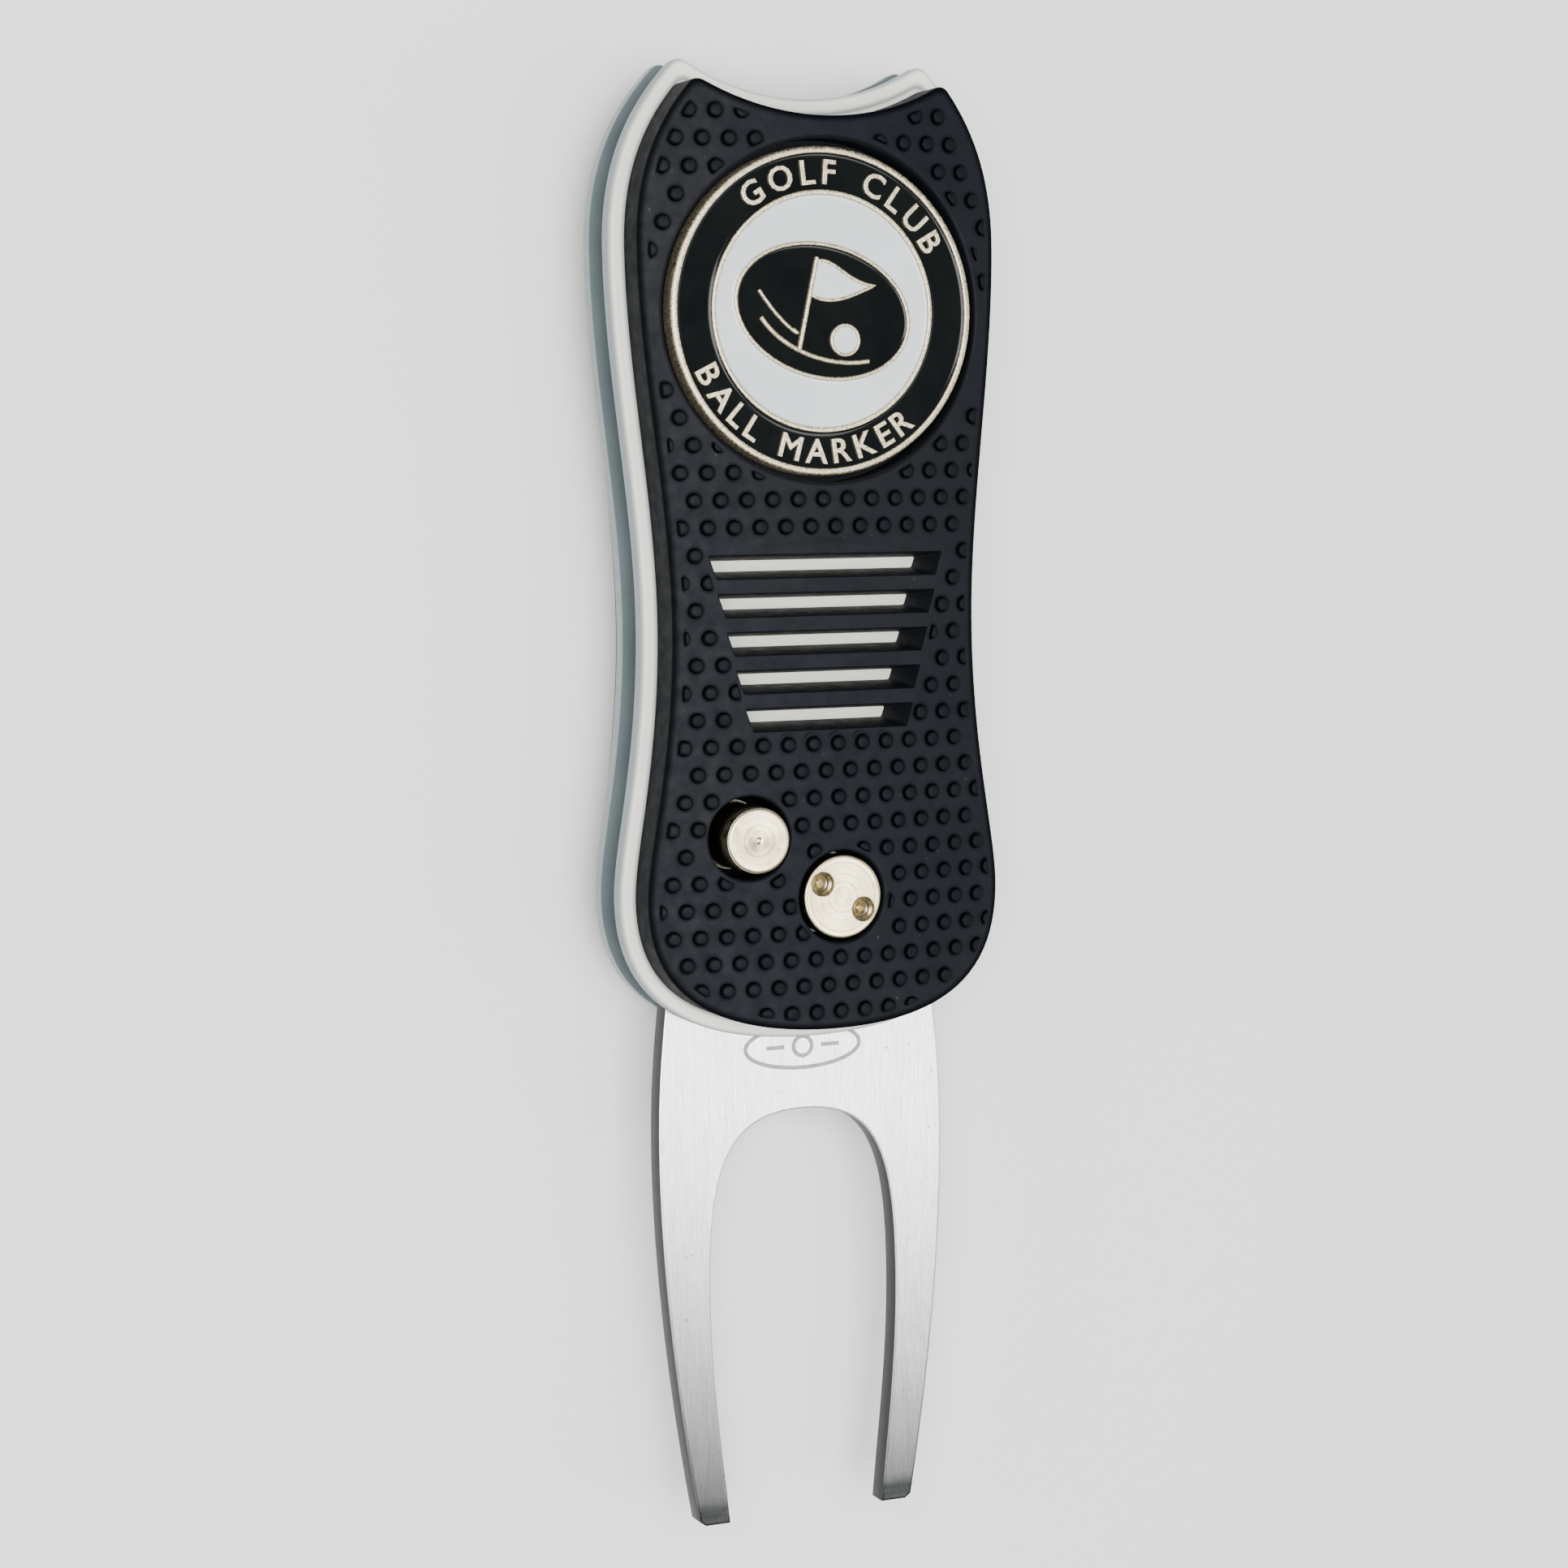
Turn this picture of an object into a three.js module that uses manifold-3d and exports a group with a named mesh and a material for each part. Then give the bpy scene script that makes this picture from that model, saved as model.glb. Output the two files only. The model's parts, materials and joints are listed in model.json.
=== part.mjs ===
// Folding divot repair tool: a two-tine steel fork that swings out of a slim handle,
// a push-button release, and a magnetic ball marker in the handle's face.
//
// Millimetres, +Z up. The tool lies on its back: X runs across the handle, Y along it
// (fork tips towards -Y, notched end towards +Y), and Z through its thickness.
// Outlines are drawn in handle coordinates (x, v); v = 0 lies between button and slots.

import * as THREE from 'three';
import { mergeVertices } from 'three/addons/utils/BufferGeometryUtils.js';
import Module from 'manifold-3d';

const wasm = await Module();
wasm.setup();

// ---------------------------------------------------------------- driving dimensions

// Plan of the handle, taken at the edge of the two liners
const HALF_WIDTH_HEAD = 16.33;
const HALF_WIDTH_WAIST = 14.08;
const HALF_WIDTH_FOOT = 16.27;
const HEAD_V = 40.7;
const WAIST_V = 11.3;
const FOOT_V = -10.0;
const BOTTOM_V = -21.85;
const HORN_X = 10.3;
const HORN_V = 55.0;
const NOTCH_V = 52.2;
const NOTCH_SAG = HORN_V - NOTCH_V;
const NOTCH_RADIUS = (HORN_X ** 2 + NOTCH_SAG ** 2) / (2 * NOTCH_SAG);
const GRIP_INSET = 1.25;          // grips stop this far inside the liner's edge
const GRIP_NOTCH_INSET = 1.7;     // and further back from the notch
const SPINE_INSET = 1.25;         // so does the spine between the liners

// Thicknesses, from the table upwards
const LAND_HEIGHT = 0.45;         // raised rest land on the back grip
const GRIP_THICKNESS = 4.5;       // at the crown
const GRIP_CROWN_RADIUS = 71;     // the grip faces are crowned across the handle
const LINER_BACK = 1.6;
const CAVITY = 3.0;
const LINER_FRONT = 1.5;
const GLUE = 0.05;                // gap between faces that lie on each other
const RUNNING = 0.1;              // radial clearance of turned fits

const BACK_LINER_Z = LAND_HEIGHT + GRIP_THICKNESS;
const CAVITY_Z = BACK_LINER_Z + LINER_BACK;
const FRONT_LINER_Z = CAVITY_Z + CAVITY;
const FRONT_GRIP_Z = FRONT_LINER_Z + LINER_FRONT;
const FACE_Z = FRONT_GRIP_Z + GRIP_THICKNESS;

// Fork
const FORK_THICKNESS = 2.0;
const FORK_AXIS_X = -0.2;
const FORK_HALF_WIDTH = 12.38;
const FORK_WIDEST_V = -30.5;
const SHOULDER_V = -18.6;
const SHOULDER_HALF_WIDTH = 11.6;
const CROTCH_V = -28.0;
const GAP_HALF_WIDTH = 8.2;
const GAP_WIDEST_V = -42.7;
const TIP_V = -61.4;
const TIP_INNER = 6.75;
const TIP_OUTER = 9.2;
const TIP_CHAMFER = 0.35;
const TANG_RADIUS = 5.2;
const NECK_HALF_WIDTH = 4.2;
const FORK_Z = CAVITY_Z + (CAVITY - FORK_THICKNESS) / 2;

// Pivot
const PIVOT = { x: 0.68, v: -10.13 };
const PIVOT_HEAD_RADIUS = 3.3;
const PIVOT_HEAD_THICKNESS = 1.6;
const PIVOT_RADIUS = 2.4;
const PIVOT_HOLE_RADIUS = 3.65;   // clearance round the head in both grips
const SCREW_RADIUS = 1.1;
const SPANNER_CIRCLE = 2.04;      // two blind holes for a pin spanner
const SPANNER_RADIUS = 0.93;
const SPANNER_DEPTH = 0.8;
const SPANNER_ANGLE = THREE.MathUtils.degToRad(-32);
const WASHER_RADIUS = 4.0;
const WASHER_THICKNESS = 0.4;

// Release button
const BUTTON = { x: -6.98, v: -5.18 };
const BUTTON_RADIUS = 2.6;
const BUTTON_PROUD = 1.5;
const BUTTON_HOLE_RADIUS = 3.3;
const FLANGE_RADIUS = 3.1;
const FLANGE_THICKNESS = 0.55;
const COLLAR_RADIUS = 2.2;
const STEM_RADIUS = 1.0;
const STEM_BOTTOM_Z = 3.7;
const SPRING_WELL_RADIUS = 2.4;
const SPRING_FLOOR_Z = 1.6;

// Ball marker and its seat
const MARKER_V = 35.55;
const MARKER_RADIUS = 12.7;
const MARKER_TOP_Z = FACE_Z - 0.85;
const MARKER_THICKNESS = 2.0;
const MARKER_RIM = 0.55;
const MARKER_FENCE_OUTER = 9.35;  // raised ring between the two enamel fields
const MARKER_FENCE_INNER = 8.98;
const ENAMEL_DEPTH = 0.5;
const ENAMEL_BELOW_RIM = 0.2;
const RECESS_RADIUS = 13.25;
const MAGNET_RADIUS = 5.0;
const CUP_WALL = 0.8;

// Five drafted slots in each grip, shortening towards the pivot
const SLOT_COUNT = 5;
const SLOT_TOP_V = 16.77;
const SLOT_PITCH = 2.97;
const SLOT_HEIGHT = 1.78;
const SLOT_HALF_LENGTH = 9.93;
const SLOT_SHORTENING = 0.693;
const SLOT_END_SLANT = 0.6;

// Spine, stop pin and screws between the liners
const SPINE_INNER_X = -11.2;
const SPINE_FOOT_V = -12.5;
const TIP_SWEEP_RADIUS = 52.6;    // clears the tine tips, which pass 52.1 from the pivot
const STOP_PIN = { x: -9.3, v: SHOULDER_V + 1.35, radius: 1.0 };
const SCREW_PLACES = [
  { x: -12.95, v: -7.5 },
  { x: -13.0, v: 38.0 },
  { x: -6.5, v: 46.6 },
  { x: 7.0, v: 46.4 },
];
const CASE_SCREW_RADIUS = 0.7;
const CASE_SCREW_HEAD_RADIUS = 1.25;
const CASE_SCREW_HEAD = 0.7;

const LAND_HALF_WIDTH = 6.5;      // the smooth flat that the tool rests on
const LAND_BOTTOM_V = -1.5;
const LAND_TOP_V = 47.0;

const ROUND = 40;                 // sides of a large circle
const FINE = 16;                  // sides of a small one
const NOTCH_SIDES = 150;          // sides of the notch's wide circle
const CURVE_STEPS = 12;           // points on each curve of an outline

// ------------------------------------------------------------------------- materials

const finish = (color, roughness, metalness) =>
  new THREE.MeshStandardMaterial({ color, roughness, metalness });

const MATERIALS = {
  grip: finish(0x262b36, 0.75, 0),
  liner: finish(0xd9dccf, 0.45, 0),
  spine: finish(0x77807f, 0.55, 0),
  blade: finish(0xd2d3d6, 0.35, 1),
  turned: finish(0xe1d8c4, 0.3, 1),
  spring: finish(0x9a9a98, 0.35, 1),
  washer: finish(0xe8e4d8, 0.5, 0),
  coin: finish(0xcfc3a2, 0.4, 1),
  darkEnamel: finish(0x0d1214, 0.12, 0),
  whiteEnamel: finish(0xe2e5ea, 0.12, 0),
  magnet: finish(0xb9bbbd, 0.3, 1),
};

// ---------------------------------------------------------------------------- solids

/** The geometry's corners only, merged, with no collapsed triangles. */
function corners(geometry) {
  const bare = geometry.clone();
  bare.deleteAttribute('normal');
  bare.deleteAttribute('uv');
  const merged = mergeVertices(bare, 1e-5);
  const old = merged.getIndex().array;
  const kept = [];
  for (let i = 0; i < old.length; i += 3) {
    const [a, b, c] = [old[i], old[i + 1], old[i + 2]];
    if (a !== b && b !== c && c !== a) kept.push(a, b, c);
  }
  merged.setIndex(kept);
  return merged;
}

function solid(geometry) {
  const merged = corners(geometry);
  const vertProperties = new Float32Array(merged.getAttribute('position').array);
  const triVerts = new Uint32Array(merged.getIndex().array);
  return new wasm.Manifold(new wasm.Mesh({ numProp: 3, vertProperties, triVerts }));
}

function geometryOf(body) {
  const { vertProperties, triVerts } = body.getMesh();
  const geometry = new THREE.BufferGeometry();
  geometry.setAttribute('position', new THREE.Float32BufferAttribute(vertProperties, 3));
  geometry.setIndex(Array.from(triVerts));
  geometry.computeVertexNormals();
  return geometry;
}

/** A shape in the (x, v) plane, extruded from z0 up to z1. */
function prism(shape, z0, z1) {
  const options = { depth: z1 - z0, bevelEnabled: false, curveSegments: CURVE_STEPS };
  return new THREE.ExtrudeGeometry(shape, options).translate(0, 0, z0);
}

/** A round bar or hole standing along Z at a place { x, v }. */
function bar(place, radius, z0, z1, sides = FINE) {
  return new THREE.CylinderGeometry(radius, radius, z1 - z0, sides)
    .rotateX(Math.PI / 2)
    .translate(place.x, place.v, (z0 + z1) / 2);
}

/** A turned piece: [radius, z] pairs rising from the axis back to the axis. */
function turned(profile, place, sides = ROUND) {
  const points = profile.map(([radius, z]) => new THREE.Vector2(radius, z));
  return new THREE.LatheGeometry(points, sides)
    .rotateX(Math.PI / 2)
    .translate(place.x, place.v, 0);
}

/** A turned ring: the same, as a profile that closes on itself. */
function ring(inner, outer, z0, z1, place, sides = ROUND) {
  const profile = [[inner, z0], [outer, z0], [outer, z1], [inner, z1], [inner, z0]];
  return turned(profile, place, sides);
}

const cut = (body, ...tools) => tools.reduce((left, tool) => left.subtract(solid(tool)), body);

// -------------------------------------------------------------------------- outlines

/** Right half of the liner's outline, from the bottom centre up to the horn. */
function rightSide(shape) {
  shape.moveTo(0, BOTTOM_V);
  shape.bezierCurveTo(11.0, BOTTOM_V, HALF_WIDTH_FOOT, FOOT_V - 7.8, HALF_WIDTH_FOOT, FOOT_V);
  shape.bezierCurveTo(
    HALF_WIDTH_FOOT, FOOT_V + 4.2, HALF_WIDTH_WAIST, WAIST_V - 10.5, HALF_WIDTH_WAIST, WAIST_V);
  shape.bezierCurveTo(
    HALF_WIDTH_WAIST, WAIST_V + 9.7, HALF_WIDTH_HEAD, HEAD_V - 9.7, HALF_WIDTH_HEAD, HEAD_V);
  shape.bezierCurveTo(HALF_WIDTH_HEAD, HEAD_V + 5.8, HORN_X + 4.2, HORN_V - 4.1, HORN_X, HORN_V);
}

/** Closed outline of the liner: right side, notch, and the mirrored left side. */
function linerOutline() {
  const half = new THREE.Shape();
  rightSide(half);
  const right = half.getPoints(CURVE_STEPS);
  const reach = Math.asin(HORN_X / NOTCH_RADIUS);
  const notch = [];
  for (let i = 1; i < CURVE_STEPS; i++) {
    const angle = reach * (1 - (2 * i) / CURVE_STEPS);
    const drop = NOTCH_RADIUS * (1 - Math.cos(angle));
    notch.push(new THREE.Vector2(NOTCH_RADIUS * Math.sin(angle), NOTCH_V + drop));
  }
  const left = right.slice(1).reverse().map((p) => new THREE.Vector2(-p.x, p.y));
  return [...right, ...notch, ...left];
}

/** The outline moved inwards by a distance, with mitred corners. */
function inset(outline, distance) {
  const count = outline.length;
  const normal = (a, b) => new THREE.Vector2(a.y - b.y, b.x - a.x).normalize();
  return outline.map((point, i) => {
    const before = normal(outline[(i + count - 1) % count], point);
    const after = normal(point, outline[(i + 1) % count]);
    const reach = distance / (1 + before.dot(after));
    return before.add(after).multiplyScalar(reach).add(point);
  });
}

const LINER = linerOutline();
const GRIP = inset(LINER, GRIP_INSET);

/** Blade of the fork below the shoulder: the right half, mirrored about the fork's axis. */
function bladeShape() {
  const half = new THREE.Path();
  half.moveTo(0, CROTCH_V);
  half.bezierCurveTo(6.8, CROTCH_V, GAP_HALF_WIDTH, -32.5, GAP_HALF_WIDTH, GAP_WIDEST_V);
  half.bezierCurveTo(GAP_HALF_WIDTH, -50, 7.2, TIP_V + 5, TIP_INNER, TIP_V);
  half.lineTo(TIP_OUTER - TIP_CHAMFER, TIP_V);
  half.lineTo(TIP_OUTER + 0.15, TIP_V + TIP_CHAMFER);
  half.bezierCurveTo(10.6, -54, FORK_HALF_WIDTH, -42, FORK_HALF_WIDTH, FORK_WIDEST_V);
  half.bezierCurveTo(FORK_HALF_WIDTH, -26, 12.1, -23, SHOULDER_HALF_WIDTH, SHOULDER_V);
  const right = half.getPoints(CURVE_STEPS);
  const left = right.slice(1).reverse().map((p) => new THREE.Vector2(-p.x, p.y));
  const outline = [...right, ...left].map((p) => p.add(new THREE.Vector2(FORK_AXIS_X, 0)));
  return new THREE.Shape(outline);
}

/** Slot number i of the vent group, with slanted ends. */
function slotShape(i) {
  const top = SLOT_TOP_V - i * SLOT_PITCH;
  const half = SLOT_HALF_LENGTH - i * SLOT_SHORTENING;
  return new THREE.Shape([
    new THREE.Vector2(-half + SLOT_END_SLANT, top - SLOT_HEIGHT),
    new THREE.Vector2(half - SLOT_END_SLANT, top - SLOT_HEIGHT),
    new THREE.Vector2(half, top),
    new THREE.Vector2(-half, top),
  ]);
}

class Helix extends THREE.Curve {
  constructor(place, radius, z0, z1, turns) {
    super();
    Object.assign(this, { place, radius, z0, z1, turns });
  }

  getPoint(t, target = new THREE.Vector3()) {
    const angle = 2 * Math.PI * this.turns * t;
    return target.set(
      this.place.x + this.radius * Math.cos(angle),
      this.place.v + this.radius * Math.sin(angle),
      THREE.MathUtils.lerp(this.z0, this.z1, t));
  }
}

/** A coil spring of round wire between z0 and z1. */
function coil(place, radius, wire, z0, z1, turns) {
  const section = new THREE.Shape().absarc(0, 0, wire / 2, 0, 2 * Math.PI, false);
  const path = new Helix(place, radius, z0 + wire / 2, z1 - wire / 2, turns);
  const steps = Math.round(turns * 12);
  return new THREE.ExtrudeGeometry(section, { steps, extrudePath: path, curveSegments: 3 });
}

// ------------------------------------------------------------------- pieces by name

const assembly = new THREE.Group();
assembly.position.y = -(HORN_V + TIP_V) / 2;   // centres the open tool on the origin

function add(name, geometry, material) {
  const mesh = new THREE.Mesh(geometry, MATERIALS[material]);
  mesh.name = name;
  assembly.add(mesh);
}

/** A grip blank with its crown on top: outline prism cut by a long crowned bar and the notch. */
function crownedBlank(z0) {
  const top = z0 + GRIP_THICKNESS - GLUE;
  const blank = solid(prism(new THREE.Shape(GRIP), z0, top));
  const half = HALF_WIDTH_HEAD + 1;
  const section = new THREE.Shape();
  const facets = 16;
  section.moveTo(-half, z0 - 1);
  section.lineTo(half, z0 - 1);
  for (let i = 0; i <= facets; i++) {
    const x = half * (1 - (2 * i) / facets);
    section.lineTo(x, top - (x * x) / (2 * GRIP_CROWN_RADIUS));
  }
  const length = HORN_V - BOTTOM_V + 4;
  const crown = new THREE.ExtrudeGeometry(section, { depth: length, bevelEnabled: false })
    .rotateX(Math.PI / 2)
    .translate(0, HORN_V + 2, 0);
  const notchCentre = { x: 0, v: NOTCH_V + NOTCH_RADIUS };
  const notch = bar(notchCentre, NOTCH_RADIUS + GRIP_NOTCH_INSET, z0 - 1, top + 1, NOTCH_SIDES);
  return cut(blank.intersect(solid(crown)), notch);
}

function frontGrip() {
  const low = FRONT_GRIP_Z - 1;
  const marker = { x: 0, v: MARKER_V };
  let body = crownedBlank(FRONT_GRIP_Z + GLUE);
  body = cut(
    body,
    bar(marker, RECESS_RADIUS, MARKER_TOP_Z - MARKER_THICKNESS - GLUE, FACE_Z + 1, ROUND),
    bar(marker, MAGNET_RADIUS + CUP_WALL + RUNNING, low, FACE_Z + 1, ROUND),
    bar(BUTTON, BUTTON_HOLE_RADIUS, low, FACE_Z + 1),
    bar(PIVOT, PIVOT_HOLE_RADIUS, low, FACE_Z + 1),
  );
  for (let i = 0; i < SLOT_COUNT; i++) {
    body = cut(body, prism(slotShape(i), low, FACE_Z + 1));
  }
  add('front_grip', geometryOf(body), 'grip');
}

function backGrip() {
  // made face up like the front grip, then turned over about the handle's long axis
  const mirrored = (place) => ({ x: -place.x, v: place.v });
  const flatTop = GRIP_THICKNESS - GLUE;
  const land = new THREE.Shape([
    new THREE.Vector2(-LAND_HALF_WIDTH, LAND_BOTTOM_V),
    new THREE.Vector2(LAND_HALF_WIDTH, LAND_BOTTOM_V),
    new THREE.Vector2(LAND_HALF_WIDTH, LAND_TOP_V),
    new THREE.Vector2(-LAND_HALF_WIDTH, LAND_TOP_V),
  ]);
  let body = crownedBlank(0);
  body = body.add(solid(prism(land, 1, flatTop + LAND_HEIGHT)));
  body = cut(
    body,
    bar(mirrored(PIVOT), PIVOT_HOLE_RADIUS, -1, GRIP_THICKNESS + 2),
    bar(mirrored(BUTTON), SPRING_WELL_RADIUS, -1, BACK_LINER_Z - SPRING_FLOOR_Z),
  );
  for (let i = 0; i < SLOT_COUNT; i++) {
    body = cut(body, prism(slotShape(i), -1, GRIP_THICKNESS + 2));
  }
  const turnedOver = geometryOf(body)
    .rotateY(Math.PI)
    .translate(0, 0, BACK_LINER_Z - GLUE);
  add('back_grip', turnedOver, 'grip');
}

function liners() {
  const plate = (z0, z1) => solid(prism(new THREE.Shape(LINER), z0, z1));
  const pinHole = STOP_PIN.radius + RUNNING;
  const front = cut(
    plate(FRONT_LINER_Z, FRONT_GRIP_Z),
    bar(PIVOT, PIVOT_RADIUS + RUNNING, FRONT_LINER_Z - 1, FRONT_GRIP_Z + 1, ROUND),
    bar(BUTTON, BUTTON_RADIUS + RUNNING, FRONT_LINER_Z - 1, FRONT_GRIP_Z + 1, ROUND),
    bar(STOP_PIN, pinHole, FRONT_LINER_Z - 1, FRONT_LINER_Z + 0.85),
    ...SCREW_PLACES.map((place) =>
      bar(place, CASE_SCREW_RADIUS + RUNNING, FRONT_LINER_Z - 1, FRONT_LINER_Z + 1.05)),
  );
  const back = cut(
    plate(BACK_LINER_Z, CAVITY_Z),
    bar(PIVOT, PIVOT_RADIUS + RUNNING, BACK_LINER_Z - 1, CAVITY_Z + 1, ROUND),
    bar(BUTTON, SPRING_WELL_RADIUS, BACK_LINER_Z - 1, CAVITY_Z + 1),
    bar(STOP_PIN, pinHole, CAVITY_Z - 0.95, CAVITY_Z + 1),
    ...SCREW_PLACES.map((place) =>
      bar(place, CASE_SCREW_RADIUS + RUNNING, BACK_LINER_Z - 1, CAVITY_Z + 1)),
    ...SCREW_PLACES.map((place) => {
      const seat = BACK_LINER_Z + CASE_SCREW_HEAD + GLUE;
      return bar(place, CASE_SCREW_HEAD_RADIUS + RUNNING, BACK_LINER_Z - 1, seat);
    }),
  );
  add('front_liner', geometryOf(front), 'liner');
  add('back_liner', geometryOf(back), 'liner');
}

/** Wall along the left edge and across the top; the fork folds in from the right. */
function spine() {
  const edge = inset(LINER, SPINE_INSET);
  const far = 40;
  const room = new THREE.Shape();
  const startAngle = Math.PI / 4;
  const endAngle = Math.acos((SPINE_INNER_X - PIVOT.x) / TIP_SWEEP_RADIUS);
  room.moveTo(SPINE_INNER_X, -far);
  room.lineTo(far, -far);
  room.lineTo(
    PIVOT.x + TIP_SWEEP_RADIUS * Math.cos(startAngle),
    PIVOT.v + TIP_SWEEP_RADIUS * Math.sin(startAngle));
  room.absarc(PIVOT.x, PIVOT.v, TIP_SWEEP_RADIUS, startAngle, endAngle, false);
  room.closePath();
  const foot = new THREE.Shape([
    new THREE.Vector2(-far, -far),
    new THREE.Vector2(0, -far),
    new THREE.Vector2(0, SPINE_FOOT_V),
    new THREE.Vector2(-far, SPINE_FOOT_V),
  ]);
  const body = cut(
    solid(prism(new THREE.Shape(edge), CAVITY_Z + GLUE, FRONT_LINER_Z - GLUE)),
    prism(room, CAVITY_Z - 1, FRONT_LINER_Z + 1),
    prism(foot, CAVITY_Z - 1, FRONT_LINER_Z + 1),
    ...SCREW_PLACES.map((place) =>
      bar(place, CASE_SCREW_RADIUS + RUNNING, CAVITY_Z - 1, FRONT_LINER_Z + 1)),
  );
  add('spine_spacer', geometryOf(body), 'spine');
}

function fork() {
  const top = FORK_Z + FORK_THICKNESS;
  const neckLength = PIVOT.v - SHOULDER_V + 2;
  const neck = new THREE.BoxGeometry(2 * NECK_HALF_WIDTH, neckLength, FORK_THICKNESS)
    .translate(PIVOT.x, PIVOT.v - neckLength / 2, FORK_Z + FORK_THICKNESS / 2);
  const body = cut(
    solid(prism(bladeShape(), FORK_Z, top))
      .add(solid(neck))
      .add(solid(bar(PIVOT, TANG_RADIUS, FORK_Z, top, ROUND))),
    bar(PIVOT, PIVOT_RADIUS + RUNNING, FORK_Z - 1, top + 1, ROUND),
  );
  add('fork', geometryOf(body), 'blade');
}

/** The two blind holes of a spanner head whose face lies at z and looks along side. */
function spannerHoles(z, side) {
  return [0, Math.PI].map((turn) => {
    const angle = SPANNER_ANGLE + turn;
    const place = {
      x: PIVOT.x + SPANNER_CIRCLE * Math.cos(angle),
      v: PIVOT.v + SPANNER_CIRCLE * Math.sin(angle),
    };
    const floor = z - side * SPANNER_DEPTH;
    return bar(place, SPANNER_RADIUS, Math.min(floor, z + side), Math.max(floor, z + side), 16);
  });
}

function pivot() {
  const face = FACE_Z + 0.1;
  const neckZ = face - PIVOT_HEAD_THICKNESS;
  const bottom = BACK_LINER_Z + 0.1;
  const boreTop = FRONT_GRIP_Z + 1.0;
  const bore = SCREW_RADIUS + RUNNING;
  const barrel = turned([
    [bore, bottom], [PIVOT_RADIUS, bottom], [PIVOT_RADIUS, neckZ],
    [PIVOT_HEAD_RADIUS, neckZ], [PIVOT_HEAD_RADIUS, face], [0, face],
    [0, boreTop], [bore, boreTop], [bore, bottom],
  ], PIVOT);
  add('pivot_barrel', geometryOf(cut(solid(barrel), ...spannerHoles(face, 1))), 'turned');

  const backFace = LAND_HEIGHT + 0.15;
  const screwTop = boreTop - 0.5;
  const screw = turned([
    [0, backFace], [PIVOT_HEAD_RADIUS, backFace],
    [PIVOT_HEAD_RADIUS, backFace + PIVOT_HEAD_THICKNESS],
    [PIVOT_RADIUS, backFace + PIVOT_HEAD_THICKNESS],
    [PIVOT_RADIUS, BACK_LINER_Z - GLUE], [SCREW_RADIUS, BACK_LINER_Z - GLUE],
    [SCREW_RADIUS, screwTop], [0, screwTop],
  ], PIVOT);
  add('pivot_screw', geometryOf(cut(solid(screw), ...spannerHoles(backFace, -1))), 'turned');

  const bearing = PIVOT_RADIUS + RUNNING;
  const lower = CAVITY_Z + GLUE;
  const upper = FRONT_LINER_Z - GLUE;
  add('back_washer', ring(bearing, WASHER_RADIUS, lower, lower + WASHER_THICKNESS, PIVOT), 'washer');
  add('front_washer', ring(bearing, WASHER_RADIUS, upper - WASHER_THICKNESS, upper, PIVOT), 'washer');

  // opening spring: coils round the barrel, under its head
  const spring = coil(PIVOT, 2.98, 0.45, FRONT_GRIP_Z + 0.1, neckZ - 0.1, 4.75);
  add('opening_spring', spring, 'spring');
}

function releaseButton() {
  const top = FACE_Z + BUTTON_PROUD;
  const flangeTop = FRONT_LINER_Z - GLUE;
  const flangeBottom = flangeTop - FLANGE_THICKNESS;
  const collarBottom = FORK_Z - GLUE;
  const button = turned([
    [0, STEM_BOTTOM_Z], [STEM_RADIUS, STEM_BOTTOM_Z],
    [STEM_RADIUS, collarBottom], [COLLAR_RADIUS, collarBottom],
    [COLLAR_RADIUS, flangeBottom], [FLANGE_RADIUS, flangeBottom],
    [FLANGE_RADIUS, flangeTop], [BUTTON_RADIUS, flangeTop],
    [BUTTON_RADIUS, top - 0.2], [BUTTON_RADIUS - 0.2, top], [0, top],
  ], BUTTON);
  add('release_button', button, 'turned');
  const spring = coil(BUTTON, 1.6, 0.35, SPRING_FLOOR_Z + GLUE, collarBottom - GLUE, 5.5);
  add('button_spring', spring, 'spring');
}

function ballMarker() {
  const place = { x: 0, v: MARKER_V };
  const bottom = MARKER_TOP_Z - MARKER_THICKNESS;
  const floor = MARKER_TOP_Z - ENAMEL_DEPTH;
  const rimInner = MARKER_RADIUS - MARKER_RIM;
  const coin = turned([
    [0, bottom], [MARKER_RADIUS, bottom], [MARKER_RADIUS, MARKER_TOP_Z],
    [rimInner, MARKER_TOP_Z], [rimInner, floor],
    [MARKER_FENCE_OUTER, floor], [MARKER_FENCE_OUTER, MARKER_TOP_Z],
    [MARKER_FENCE_INNER, MARKER_TOP_Z], [MARKER_FENCE_INNER, floor], [0, floor],
  ], place, 64);
  add('marker_coin', coin, 'coin');
  const low = floor + 0.01;
  const high = MARKER_TOP_Z - ENAMEL_BELOW_RIM;
  const slack = 0.02;
  add('enamel_band',
    ring(MARKER_FENCE_OUTER + slack, rimInner - slack, low, high, place, 64), 'darkEnamel');
  const disc = turned([
    [0, low], [MARKER_FENCE_INNER - slack, low], [MARKER_FENCE_INNER - slack, high], [0, high],
  ], place, 64);
  add('enamel_disc', disc, 'whiteEnamel');

  // magnet in its steel cup, set in the grip under the marker
  const cupBottom = FRONT_GRIP_Z + GLUE;
  const cupTop = bottom - 0.1;
  const cupFloor = cupBottom + 0.4;
  const outer = MAGNET_RADIUS + CUP_WALL;
  const inner = MAGNET_RADIUS + RUNNING;
  const cup = turned([
    [0, cupBottom], [outer, cupBottom], [outer, cupTop], [inner, cupTop],
    [inner, cupFloor], [0, cupFloor],
  ], place);
  add('magnet_cup', cup, 'magnet');
  const magnetBottom = cupFloor + GLUE;
  const magnet = turned([
    [0, magnetBottom], [MAGNET_RADIUS, magnetBottom], [MAGNET_RADIUS, cupTop], [0, cupTop],
  ], place);
  add('marker_magnet', magnet, 'magnet');
}

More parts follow.
